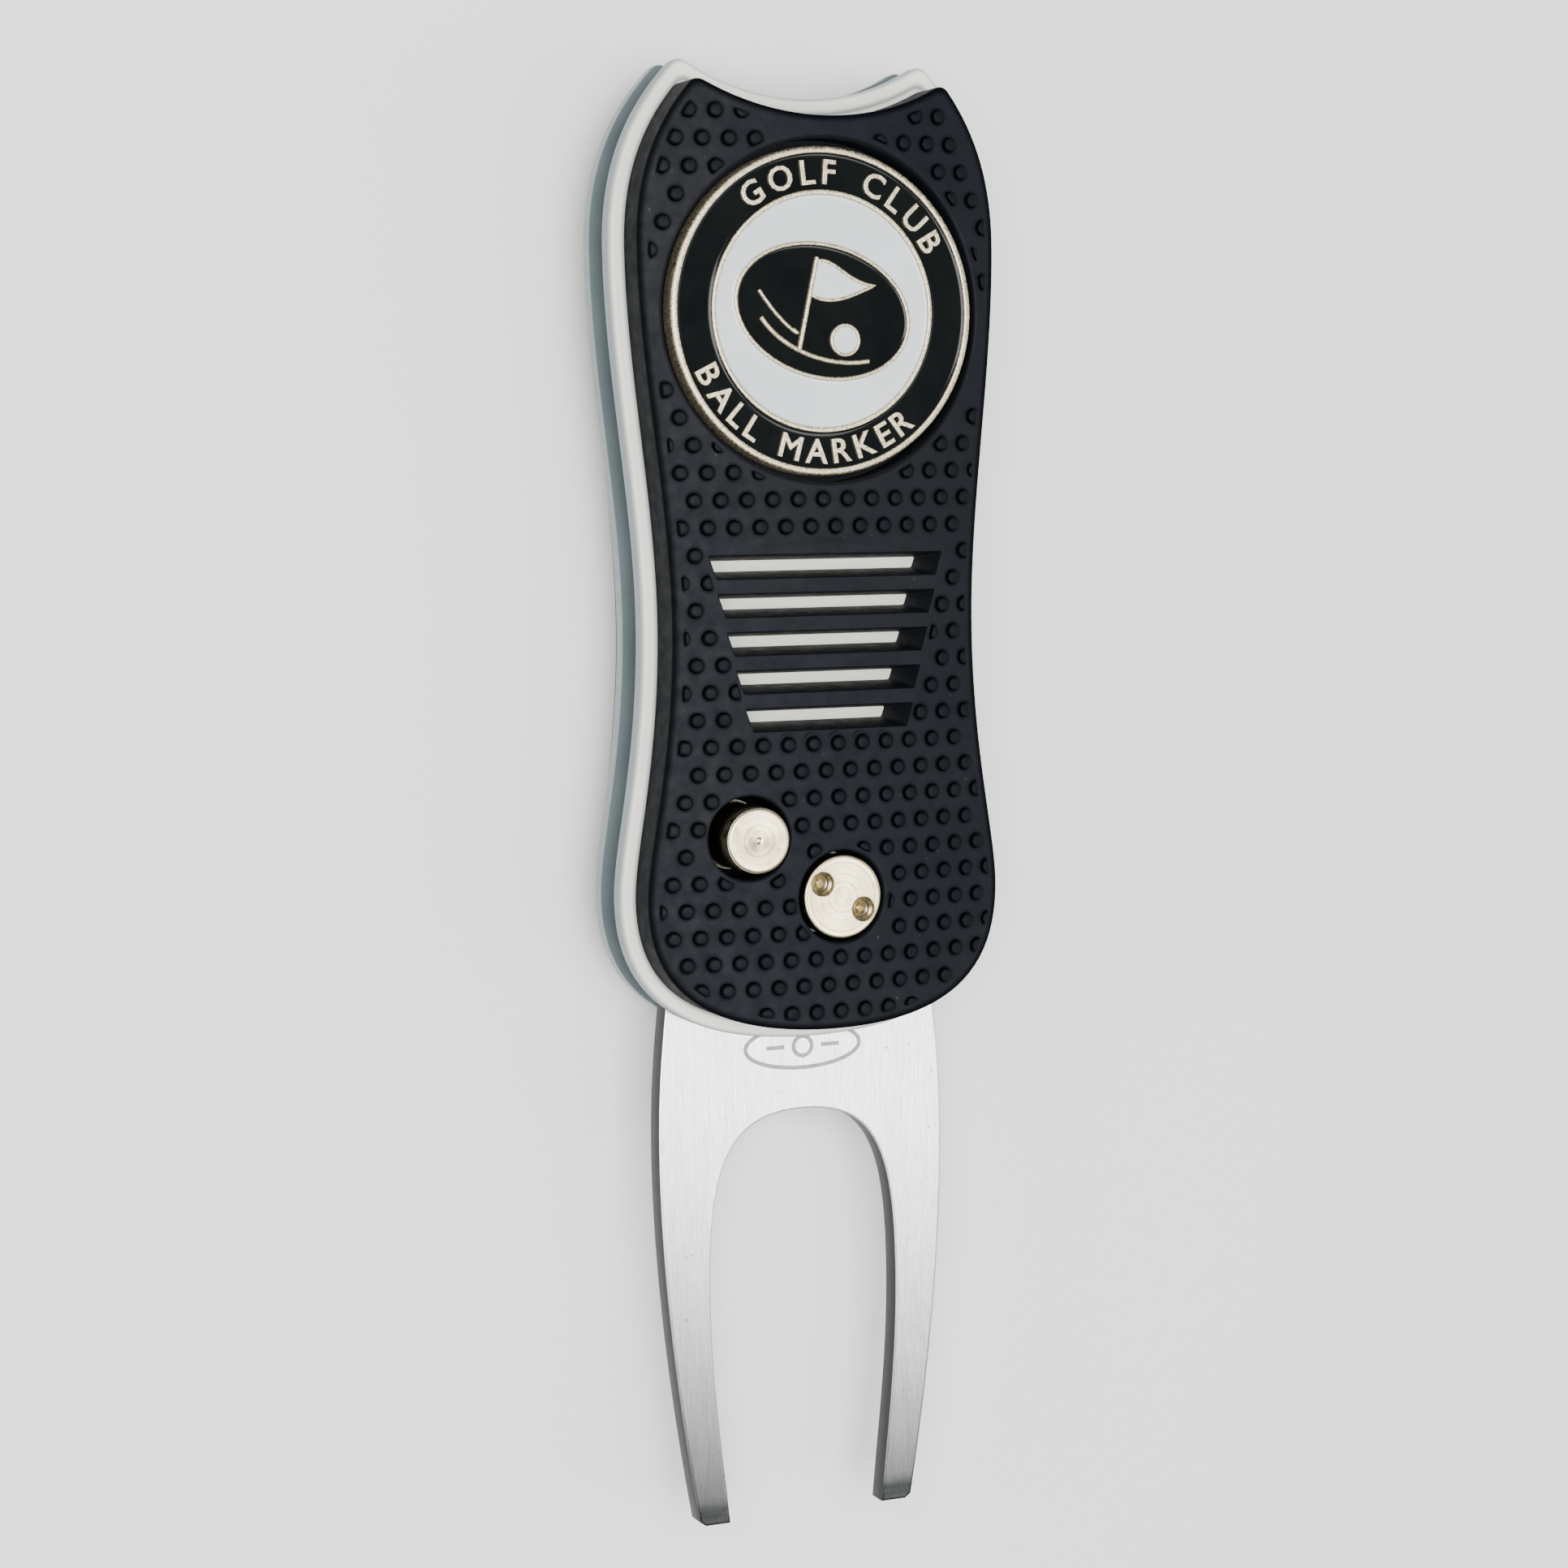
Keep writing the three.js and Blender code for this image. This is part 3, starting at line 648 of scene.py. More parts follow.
class Look:
    """A material whose colour, roughness and relief come from small node steps."""

    def __init__(self, name, roughness, metallic=0.0, specular=0.5):
        self.material = bpy.data.materials.new(name)
        self.material.use_nodes = True
        self.nodes = self.material.node_tree.nodes
        self.links = self.material.node_tree.links
        self.shader = self.nodes["Principled BSDF"]
        inputs = {"Roughness": roughness, "Metallic": metallic, "Specular IOR Level": specular}
        self.fill(self.shader, inputs)
        self.where = self.nodes.new("ShaderNodeTexCoord").outputs["Object"]
        self.relief = None

    def fill(self, node, inputs):
        """Sets a node's inputs: a socket is linked, anything else is stored."""
        for key, value in inputs.items():
            if isinstance(value, bpy.types.NodeSocket):
                self.links.new(value, node.inputs[key])
            else:
                node.inputs[key].default_value = value

    def node(self, kind, inputs, operation=None):
        node = self.nodes.new("ShaderNode" + kind)
        if operation:
            node.operation = operation
        self.fill(node, inputs)
        return node

    def noise(self, scale, detail, stretch=None):
        """Cloudy noise of `scale` cells to the metre, stretched if asked."""
        source = self.where
        if stretch:
            source = self.node("Mapping", {"Scale": stretch, "Vector": source}).outputs["Vector"]
        inputs = {"Scale": scale, "Detail": detail, "Vector": source}
        return self.node("TexNoise", inputs).outputs["Fac"]

    def rings(self, scale):
        """Noise that runs in circles about the piece's own standing axis."""
        flat = self.node("VectorMath", {0: self.where, 1: (1, 1, 0)}, "MULTIPLY")
        length = self.node("VectorMath", {0: flat.outputs["Vector"]}, "LENGTH")
        node = self.node("TexNoise", {"Scale": scale, "Detail": 3.0})
        node.noise_dimensions = "1D"
        self.fill(node, {"W": length.outputs["Value"]})
        return node.outputs["Fac"]

    def range(self, value, low, high, out_low, out_high):
        """The value's stretch from low to high, mapped to another."""
        inputs = {"From Min": low, "From Max": high, "To Min": out_low, "To Max": out_high}
        return self.node("MapRange", {"Value": value, **inputs}).outputs["Result"]

    def axis(self, name):
        return self.node("SeparateXYZ", {"Vector": self.where}).outputs[name]

    # A vertex's share of painted shade, read from its rim attribute.
    def rim(self):
        node = self.node("Attribute", {})
        node.attribute_name = "rim"
        return node.outputs["Fac"]

    def times(self, a, b):
        return self.node("Math", {0: a, 1: b}, "MULTIPLY").outputs["Value"]

    def ramp(self, value, *stops):
        """Display colours along a value: stops are (position, colour)."""
        node = self.node("ValToRGB", {"Fac": value})
        elements = node.color_ramp.elements
        for element, (position, color) in zip(elements, stops):
            element.position = position
            element.color = srgb(*color)
        return node.outputs["Color"]

    def over(self, factor, under, color):
        """A display colour laid over another by a factor."""
        node = self.node("Mix", {"Factor": factor})
        node.data_type = "RGBA"
        lower, upper = [s for s in node.inputs if s.type == "RGBA"]
        self.links.new(under, lower)
        upper.default_value = srgb(*color)
        return next(s for s in node.outputs if s.type == "RGBA")

    def mottle(self, scale, detail, dark, light, span=(0.3, 0.7)):
        """Colours the piece between two tones by cloudy noise, and returns the noise."""
        value = self.noise(scale, detail)
        self.color(self.ramp(value, (span[0], dark), (span[1], light)))
        return value

    def color(self, socket):
        self.fill(self.shader, {"Base Color": socket})

    def turned(self, amount):
        """Stretched highlights, as on a face cut on a lathe about its standing axis."""
        node = self.node("Tangent", {})
        node.direction_type = "RADIAL"
        node.axis = "Z"
        self.fill(self.shader, {"Tangent": node.outputs["Tangent"], "Anisotropic": amount})

    def shine(self, socket):
        self.fill(self.shader, {"Specular IOR Level": socket})

    def rough(self, value, low, high):
        self.fill(self.shader, {"Roughness": self.range(value, 0.3, 0.7, low, high)})

    def bump(self, value, depth_mm, strength):
        """Adds relief to what there is already."""
        node = self.node("Bump", {"Strength": strength, "Distance": depth_mm * MM, "Height": value})
        if self.relief:
            self.fill(node, {"Normal": self.relief})
        self.relief = node.outputs["Normal"]
        self.fill(self.shader, {"Normal": self.relief})


def grip_rubber():
    look = Look("grip_rubber", 0.6, specular=0.16)
    mottle = look.noise(420, 7)
    navy = look.ramp(mottle, (0.3, (6, 10, 17)), (0.7, (12, 17, 26)))
    patches = look.range(look.noise(45, 3), 0.42, 0.66, 0, 0.6)
    base = look.over(patches, navy, (19, 20, 23))
    specks = look.range(look.noise(2300, 2), 0.74, 0.78, 0, 0.5)
    dusty = look.over(specks, base, (70, 72, 72))
    # Painted shade: the rim colour, a near-black navy, darkens the pad's edge crease, slot and hole walls
    # and each pip's sides and foot, and dulls their shine.
    look.color(look.over(look.rim(), dusty, (2, 3, 7)))
    look.shine(look.range(look.rim(), 0, 1, 0.16, 0.05))
    look.rough(look.noise(900, 5), 0.52, 0.68)
    look.bump(look.noise(260, 3), 0.03, 0.4)
    look.bump(look.noise(3800, 4), 0.015, 0.6)
    return look.material


def liner_plastic():
    look = Look("liner_plastic", 0.38)
    clouds = look.noise(90, 5)
    base = look.ramp(clouds, (0.3, (232, 234, 222)), (0.7, (245, 245, 235)))
    grime = look.range(look.noise(1500, 3), 0.73, 0.79, 0, 0.55)
    darkened = look.over(grime, base, (132, 128, 112))
    # Painted shade: the rim colour, a blue-grey, darkens the outer walls, the strip at the grip's foot and
    # the edges of the inner face.
    look.color(look.over(look.rim(), darkened, (122, 131, 134)))
    look.fill(look.shader, {"Subsurface Weight": 0.08, "Subsurface Radius": (0.0008, 0.0007, 0.0005)})
    look.rough(look.noise(1100, 5), 0.3, 0.46)
    look.bump(look.noise(1700, 4), 0.01, 0.5)
    return look.material


def fork_steel():
    look = Look("fork_steel", 0.34, metallic=1.0)
    grain = look.noise(1.0, 4, stretch=(9000, 260, 9000))
    fine = look.noise(1.0, 3, stretch=(26000, 900, 26000))
    base = look.ramp(grain, (0.25, (194, 195, 198)), (0.75, (232, 232, 234)))
    far = TIP_V * MM
    # Painted shade: the faces darken towards the tines' tips, where the reflected light falls away.
    darkened = look.range(look.axis("Y"), far + TINE_SHADE_LENGTH * MM, far, 0, 0.95)
    tines = look.over(darkened, base, (68, 68, 67))
    soot_end = far + TIP_SOOT_LENGTH * MM
    near_tip = look.range(look.axis("Y"), soot_end, (soot_end + far) / 2, 0, 0.9)
    soot = look.range(look.noise(1.0, 4, stretch=(160, 1500, 160)), 0.3, 0.6, 0.4, 1.0)
    look.color(look.over(look.times(near_tip, soot), tines, (50, 53, 53)))
    look.rough(fine, 0.2, 0.32)
    pits = look.range(look.noise(1500, 1.5), 0.76, 0.82, 0, 1)
    look.bump(grain, 0.003, 0.6)
    look.bump(fine, 0.002, 0.5)
    look.bump(pits, 0.03, 0.6)
    return look.material


def shaded_edge_steel():
    """The fork's stamped edges: rougher than its faces, and darker by painted shade for the dark
    surroundings they reflect.
    """
    look = Look("shaded_edge_steel", 0.5, metallic=1.0)
    tear = look.noise(1.0, 4, stretch=(900, 900, 7000))
    look.color(look.ramp(tear, (0.3, (42, 42, 43)), (0.7, (63, 63, 65))))
    look.rough(tear, 0.42, 0.6)
    look.bump(tear, 0.01, 0.6)
    return look.material


def turned_metal():
    look = Look("turned_metal", 0.28, metallic=1.0)
    rings = look.rings(4600)
    look.color(look.ramp(rings, (0.35, (206, 187, 148)), (0.6, (253, 240, 204))))
    look.rough(look.noise(1500, 3), 0.22, 0.34)
    look.turned(0.75)
    look.bump(rings, 0.012, 0.8)
    look.bump(look.noise(2500, 2), 0.002, 0.3)
    return look.material


def coin_nickel():
    look = Look("coin_nickel", 0.5, metallic=1.0)
    grain = look.mottle(5200, 4, (166, 152, 120), (242, 230, 200), (0.3, 0.6))
    look.rough(grain, 0.4, 0.6)
    look.bump(grain, 0.02, 0.7)
    look.bump(look.noise(1200, 3), 0.02, 0.4)
    return look.material


# Looks of cloudy colour and fine relief alone. Each starts with its roughness, metallic and specular.
# Then come noises as (scale, detail): for the colour with dark, light and their span, for the relief
# with depth and strength, and for some an uneven roughness with its least and most.
PLAIN_LOOKS = {
    # Spine: a dark blue-grey that paints the shade inside the gap between the liners; the liners' inner
    # faces wear it too.
    "spine_plastic": ((0.55,), (150, 5, (89, 100, 103), (103, 114, 116)),
                      (2200, 4, 0.02, 0.6), (1200, 4, 0.48, 0.62)),
    # Bore: a brass tone darker than the turned face; the darkening is painted shade in the spanner holes.
    "bore_metal": ((0.3, 1.0), (2600, 3, (122, 110, 82), (196, 184, 152)), (7000, 3, 0.006, 0.6)),
    "dark_enamel": ((0.09, 0.0, 0.25), (300, 4, (5, 8, 8), (11, 15, 14), (0.35, 0.7)),
                    (420, 2, 0.02, 0.25), (700, 4, 0.07, 0.16)),
    "white_enamel": ((0.1,), (160, 4, (210, 216, 220), (222, 226, 230)),
                     (260, 2, 0.02, 0.2), (700, 4, 0.08, 0.16)),
    "spring_steel": ((0.35, 1.0), (1500, 4, (140, 140, 138), (172, 171, 168)), (5000, 3, 0.005, 0.5)),
    "magnet_steel": ((0.28, 1.0), (900, 5, (176, 177, 180), (202, 203, 206)),
                     (3500, 3, 0.005, 0.5), (1500, 4, 0.22, 0.36)),
    "washer_plastic": ((0.45,), (500, 4, (222, 218, 206), (236, 232, 222)), (2600, 3, 0.01, 0.5)),
    "etched_steel": ((0.55, 1.0), (3000, 4, (146, 142, 137), (170, 167, 162)), (6000, 3, 0.004, 0.6)),
    "paper_floor": ((0.85, 0.0, 0.1), (7, 4, (250, 250, 250), (253, 253, 253)), (900, 3, 0.01, 0.3)),
}


def plain_look(name, base, mottle, relief, uneven=None):
    look = Look(name, *base)
    look.mottle(*mottle)
    if uneven:
        look.rough(look.noise(*uneven[:2]), *uneven[2:])
    look.bump(look.noise(*relief[:2]), *relief[2:])
    return look.material


def make_looks():
    for name, settings in PLAIN_LOOKS.items():
        LOOKS[name] = plain_look(name, *settings)
    for maker in (grip_rubber, liner_plastic, fork_steel, shaded_edge_steel, turned_metal, coin_nickel):
        LOOKS[maker.__name__] = maker()


# ---------------- pieces

def crown(x):
    """Height of a grip's face above its liner."""
    return PAD_HEIGHT - x * x / (2 * GRIP_CROWN_RADIUS)


def raised(drop):
    """Height of the front grip's crowned face, less a drop."""
    return lambda x, v: PAD_Z + crown(x) - drop


def face_steps(*steps):
    """Steps of a wall near the crowned face, with drops below it in place of heights."""
    return [(d, raised(drop), *rim) for d, drop, *rim in steps]


def pad_hole_steps(lip):
    """Wall of a hole in a grip, with a thin lip that covers the liner at its foot."""
    lip_top = PAD_Z + LIP_THICKNESS
    # The lip and the foot of the wall carry full painted shade, and the top edge carries some.
    foot = [(-lip, PAD_Z, 1.0), (-lip, lip_top, 1.0), (0.0, lip_top, 1.0)]
    return foot + face_steps((0.0, 0.6, 0.6), (0.0, 0.22), (0.04, 0.08, 0.3), (0.12, 0.02, 0.3),
                             (0.24, 0.0), (0.34, 0.0))


def pad(holes):
    """A grip's body, with its slots and the holes asked for."""
    # The third entry of a step is its share of painted shade, dark at the pad's edge crease and down the
    # slot walls.
    edge = [(0.0, PAD_Z, 0.7)] + face_steps(
        (0.0, 0.3, 0.7), (0.02, 0.14, 0.85), (0.1, 0.05, 1.0), (0.24, 0.03, 1.0), (0.4, 0.01, 0.55),
        (0.6, 0.0), (0.75, 0.0))
    slot = [(-SLOT_DRAFT, PAD_Z)] + face_steps(
        (-0.02, 0.16), (0.0, 0.08, 0.4), (0.04, 0.02, 0.4), (0.1, 0.0), (0.17, 0.0))
    walls = [(handle_loop(GRIP_INSET, GRIP_NOTCH_INSET), edge)]
    walls += [(slot_loop(i), slot) for i in range(SLOT_COUNT)]
    shape = Shape()
    slab(shape, walls + holes, raised(0.0), PAD_SPACING)
    return shape


def clearance(points, keep_out):
    """How far each point lies inside the area that pips may cover."""
    face = handle_ring(GRIP_INSET, GRIP_NOTCH_INSET)[0]
    slots = slot_group()
    notch = outside_circle((0, NOTCH_V + NOTCH_RADIUS), NOTCH_RADIUS + GRIP_NOTCH_INSET + PIP_NOTCH_MARGIN)
    rooms = [np.where(inside(points, face), 1, -1) * distance(points, face) - PIP_MARGIN,
             np.where(inside(points, slots), -1, 1) * distance(points, slots) - PIP_SLOT_MARGIN,
             PIP_TOP_V - points[:, 1]]
    return np.min(rooms + [rule(points) for rule in [notch, *keep_out]], axis=0)


def outside_circle(place, radius):
    return lambda points: np.linalg.norm(points - place, axis=1) - radius


def outside_land(points):
    low = np.array([-LAND_HALF_WIDTH, LAND_BOTTOM_V]) - LAND_CLEARANCE
    high = np.array([LAND_HALF_WIDTH, LAND_TOP_V]) + LAND_CLEARANCE
    return np.maximum(low - points, points - high).max(axis=1)


def pip_centres():
    rows = range(math.floor(BOTTOM_V / PIP_ROW_PITCH), math.ceil(HORN_V / PIP_ROW_PITCH) + 1)
    for row in rows:
        shift = PIP_PHASE_X + (row % 2) * PIP_PITCH / 2
        for column in range(-9, 10):
            yield np.array([shift + column * PIP_PITCH, PIP_PHASE_V + row * PIP_ROW_PITCH])


def add_pip(shape, centre, keep_out):
    """A low round button, cut short where it would reach past the pips' own area."""
    unit = circle(PIP_SIDES)
    samples = np.concatenate([centre + unit * PIP_RADIUS * f for f in PIP_SAMPLES])
    allowed = clearance(samples, keep_out) > 0
    if allowed.mean() < PIP_LEAST_SHARE:
        return
    middle = samples[allowed].mean(axis=0)
    steps = np.linspace(0, PIP_PROBE * PIP_RADIUS, 26)
    probes = middle + unit[:, None] * steps[None, :, None]
    flat = probes.reshape(-1, 2)
    good = (clearance(flat, keep_out) > 0) & (np.linalg.norm(flat - centre, axis=1) < PIP_RADIUS)
    good = good.reshape(PIP_SIDES, len(steps))
    reach = np.array([steps[np.argmin(row)] if not row.all() else steps[-1] for row in good])
    if reach.mean() < PIP_LEAST_REACH:
        return
    if allowed.all():
        reach[:] = PIP_RADIUS
    rings = []
    for scale, rise, rim in PIP_SECTIONS:
        points = middle + unit * (reach * scale)[:, None]
        rings.append(shape.ring(points, raised(-rise), rim))
    shape.bands(rings)
    shape.cap(rings[-1])
    shape.cap(rings[0])


def pips(keep_out):
    shape = Shape()
    for centre in pip_centres():
        add_pip(shape, centre, keep_out)
    return shape


def front_grip():
    recess_z = MARKER_TOP_Z - MARKER_THICKNESS - GLUE
    seat = MAGNET_HOLE_RADIUS - RECESS_RADIUS
    recess = [(seat, PAD_Z), (seat, recess_z), (0.0, recess_z)]
    # The recess's top edge carries some painted shade.
    recess += face_steps((0.0, 0.3), (0.04, 0.12, 0.3), (0.14, 0.03, 0.3), (0.3, 0.0), (0.4, 0.0))
    holes = [(hole_loop(MARKER, RECESS_RADIUS), recess),
             (hole_loop(BUTTON, BUTTON_HOLE_RADIUS, HOLE_SIDES), pad_hole_steps(BUTTON_LIP)),
             (hole_loop(PIVOT, PIVOT_HOLE_RADIUS, HOLE_SIDES), pad_hole_steps(PIVOT_LIP))]
    make("front_pad", pad(holes), "handle", "grip_rubber", ["front_grip"])
    rounds = ((MARKER, RECESS_RADIUS + PIP_RECESS_MARGIN), (BUTTON, BUTTON_HOLE_RADIUS + PIP_HOLE_MARGIN),
              (PIVOT, PIVOT_HOLE_RADIUS + PIP_HOLE_MARGIN))
    keep_out = [outside_circle(place, radius) for place, radius in rounds]
    make("front_pips", pips(keep_out), "handle", "grip_rubber")


def land_blocks(shape):
    """The smooth rest land, parted by the slots."""
    slots = [SLOT_TOP_V - i * SLOT_PITCH for i in range(SLOT_COUNT)]
    tops = [LAND_TOP_V] + [v - SLOT_HEIGHT - LAND_SLOT_GAP for v in slots]
    lows = [v + LAND_SLOT_GAP for v in slots] + [LAND_BOTTOM_V]
    high = PAD_Z + PAD_HEIGHT + LAND_HEIGHT
    half = LAND_HALF_WIDTH
    for top, low in zip(tops, lows):
        corners = np.array([(-half, low), (half, low), (half, top), (-half, top)])
        corner_radius = min(1.5, 0.15 * (top - low))
        # The land's top edge carries a little painted shade.
        steps = [(0.0, high - 1.2), (0.0, high - 0.2), (0.06, high - 0.06, 0.2), (0.2, high), (0.3, high)]
        slab(shape, [(lambda d: rounded(inset(corners, d), corner_radius), steps)])


def back_grip():
    """Made face up on the front's level, then turned over."""
    mirrored = (-PIVOT[0], PIVOT[1])
    shape = pad([(hole_loop(mirrored, PIVOT_HOLE_RADIUS, HOLE_SIDES), pad_hole_steps(PIVOT_LIP))])
    land_blocks(shape)
    make("back_pad", shape, "handle", "grip_rubber", ["back_grip"], turn_over=True)
    keep_out = [outside_land, outside_circle(mirrored, PIVOT_HOLE_RADIUS + PIP_HOLE_MARGIN)]
    make("back_pips", pips(keep_out), "handle", "grip_rubber", turn_over=True)


# Edges of a liner: inset, distance from its face, rim colour. The rim colour is painted shade: on the outer
# wall, at the grip's foot, and along the inner face's edge.
SOFT_EDGE = ((0.0, 0.5, 1.0), (0.03, 0.3, 0.85), (0.1, 0.14, 0.6), (0.21, 0.04, 0.3), (0.36, 0.0, 0.0),
             (0.5, 0.0, 0.0), (GRIP_INSET - 0.35, 0.0, 0.0), (GRIP_INSET, 0.0, 0.9),
             (GRIP_INSET + 0.25, 0.0, 0.0))
CRISP_EDGE = ((0.12, 0.0, 1.0), (0.05, 0.0, 1.0), (0.0, 0.05, 1.0))


def liner(name, node, low, high, round_top, button_radius):
    """A cream plate, rounded towards the grip it carries and lined with blue-grey on its inner face, a
    painted shade of the gap between the liners.
    """
    foot, head = (CRISP_EDGE, SOFT_EDGE) if round_top else (SOFT_EDGE[::-1], CRISP_EDGE[::-1])
    steps = [(d, low + z, rim) for d, z, rim in foot] + [(d, high - z, rim) for d, z, rim in head]
    walls = [(handle_loop(0.0, 0.0), steps)]
    for place, radius in ((PIVOT, PIVOT_RADIUS + RUNNING), (BUTTON, button_radius)):
        walls.append((hole_loop(place, radius, HOLE_SIDES), [(0.0, low), (0.0, high)]))
    shape = Shape()
    slab(shape, walls)
    # The inner face takes the spine's look, painted shade of the gap between the liners.
    inner = low if round_top else high
    shape.repaint(1, lambda heights: max(abs(height - inner) for height in heights) < 1e-6)
    make(name, shape, "handle", "liner_plastic", [node], looks=("liner_plastic", "spine_plastic"))


def liners():
    liner("front_plate", "front_liner", FRONT_LINER_Z, FRONT_GRIP_Z, True, BUTTON_RADIUS + RUNNING)
    liner("back_plate", "back_liner", BACK_LINER_Z, CAVITY_Z, False, SPRING_WELL_RADIUS)


def fork():
    top = FORK_Z + FORK_THICKNESS
    line = fork_outline()

    def taper(v):
        part = min(1.0, max(0.0, (TIP_V + TIP_TAPER_LENGTH - v) / TIP_TAPER_LENGTH))
        return TIP_TAPER * part * part

    def above(drop):
        return lambda x, v: top - taper(v) - drop

    def below(rise):
        return lambda x, v: FORK_Z + taper(v) + rise

    edge = ((0.2, 0.0), (0.08, 0.0), (0.02, 0.02), (0.0, 0.08))
    steps = [(d, below(rise)) for d, rise in edge] + [(d, above(drop)) for d, drop in reversed(edge)]
    bore = [(0.0, FORK_Z), (0.0, top)]
    shape = Shape()
    walls = [(lambda d: inset(line, d), steps), (hole_loop(PIVOT, PIVOT_RADIUS + RUNNING, HOLE_SIDES), bore)]
    slab(shape, walls, above(0.0), BLADE_SPACING)
    # The side walls take the darker edge steel, painted shade for the dark surroundings they reflect.
    shape.repaint(1, lambda heights: max(heights) - min(heights) > 0.5 * FORK_THICKNESS)
    make("fork_blade", shape, "fork", "fork_steel", ["fork"], looks=("fork_steel", "shaded_edge_steel"))
    etched_mark(top)


def etched_mark(top):
    """A plain oval with a ball, lightly etched in the blade below the handle."""
    shape = Shape()
    line = {"width": ETCH_WIDTH, "low": top - 0.02, "high": top + 0.008, "section": flat_section}
    centre = np.array([FORK_AXIS_X + 0.1, ETCH_V])
    ribbon(shape, centre + circle(72) * (ETCH_HALF_LENGTH, ETCH_HALF_HEIGHT), **line)
    ribbon(shape, centre + circle(24) * ETCH_BALL_RADIUS, **line)
    for side in (-1, 1):
        bar = [centre + (side * x, 0.0) for x in ETCH_BAR]
        ribbon(shape, bar, closed=False, **line)
    make("etched_mark", shape, "fork", "fork_steel", looks=["etched_steel"])


def spanner_head():
    """The pivot's round head, with two stepped blind holes for a pin spanner."""
    face = PIVOT_HEAD_Z
    low = face - PIVOT_HEAD_THICKNESS
    edge = [(0.12, low), (0.0, low + 0.12), (0.0, face - 0.14), (0.05, face - 0.04),
            (0.14, face), (0.22, face)]
    pit = ((0.1 - SPANNER_RADIUS, 1.12), (-0.6, 0.9), (-0.52, 0.72), (-0.3, 0.62), (-0.24, 0.42),
           (-0.04, 0.3), (0.0, 0.06), (0.05, 0.0), (0.1, 0.0))
    pit = [(d, face - depth) for d, depth in pit]
    walls = [(disc_loop(PIVOT, PIVOT_HEAD_RADIUS), edge)]
    # Each hole's walls and floor take the darker bore metal, painted shade.
    for turn in (0.0, math.pi):
        angle = SPANNER_ANGLE + turn
        place = (PIVOT[0] + SPANNER_CIRCLE * math.cos(angle), PIVOT[1] + SPANNER_CIRCLE * math.sin(angle))
        walls.append((hole_loop(place, SPANNER_RADIUS, 40), pit, "blind"))
    shape = Shape()
    slab(shape, walls)
    return shape


def pivot():
    metals = ("turned_metal", "bore_metal")
    bottom = BACK_LINER_Z + RUNNING
    bore = SCREW_RADIUS + RUNNING
    neck = PIVOT_HEAD_Z - PIVOT_HEAD_THICKNESS + HEAD_OVERLAP
    shape = spanner_head()
    tube = [(bore, bottom), (PIVOT_RADIUS, bottom), (PIVOT_RADIUS, neck), (bore, neck)]
    lathe(shape, PIVOT, tube, HOLE_SIDES, closed=True)
    make("pivot_cap", shape, "handle", "turned_metal", ["pivot_barrel"], PIVOT, metals)

    shape = spanner_head()
    back_face = LAND_HEIGHT + SCREW_SET_BACK
    shape.verts = [(x, v, back_face + PIVOT_HEAD_Z - z) for x, v, z in shape.verts]
    neck = back_face + PIVOT_HEAD_THICKNESS - HEAD_OVERLAP
    step = BACK_LINER_Z - GLUE
    tip = FRONT_GRIP_Z + SCREW_REACH
    shank = [(PIVOT_RADIUS, neck), (PIVOT_RADIUS, step), (SCREW_RADIUS, step), (SCREW_RADIUS, tip)]
    lathe(shape, PIVOT, shank, HOLE_SIDES)
    make("pivot_screw_cap", shape, "handle", "turned_metal", ["pivot_screw"], PIVOT, metals)


def release_button():
    top = FACE_Z + BUTTON_PROUD
    flange_top = FRONT_LINER_Z - GLUE
    flange_low = flange_top - FLANGE_THICKNESS
    collar_low = FORK_Z - GLUE
    r = BUTTON_RADIUS
    profile = [(0.02, STEM_BOTTOM_Z), (STEM_RADIUS, STEM_BOTTOM_Z), (STEM_RADIUS, collar_low),
               (COLLAR_RADIUS, collar_low), (COLLAR_RADIUS, flange_low), (FLANGE_RADIUS, flange_low),
               (FLANGE_RADIUS, flange_top), (r, flange_top), (r, top - 0.24), (r - 0.04, top - 0.12),
               (r - 0.12, top - 0.04), (r - 0.24, top), (r - 0.34, top), (0.34, top), (0.27, top - 0.015),
               (0.17, top - 0.06), (0.1, top - 0.03), (0.03, top - 0.02)]
    shape = Shape()
    lathe(shape, BUTTON, profile)
    make("push_button", shape, "button", "turned_metal", ["release_button"], BUTTON)


# ---------------- ball marker

def marker_coin():
    top = MARKER_TOP_Z
    bottom = top - MARKER_THICKNESS
    low = top - ENAMEL_DEPTH
    r = MARKER_RADIUS
    rim = r - MARKER_RIM
    profile = [(0.02, bottom), (r - 0.3, bottom), (r - 0.08, bottom + 0.1), (r, bottom + 0.3),
               (r, top - 0.3), (r - 0.02, top - 0.17), (r - 0.08, top - 0.07), (r - 0.18, top - 0.02),
               (r - 0.3, top), (rim + 0.14, top), (rim + 0.05, top - 0.03), (rim, top - 0.12),
               (rim, low), (FENCE_OUTER, low),
               (FENCE_OUTER, top - 0.1), (FENCE_OUTER - 0.05, top - 0.02), (FENCE_OUTER - 0.12, top),
               (FENCE_INNER + 0.12, top), (FENCE_INNER + 0.05, top - 0.02), (FENCE_INNER, top - 0.1),
               (FENCE_INNER, low), (0.02, low)]
    shape = Shape()
    lathe(shape, MARKER, profile, COIN_SIDES)
    make("coin", shape, "marker", "coin_nickel", ["marker_coin"])


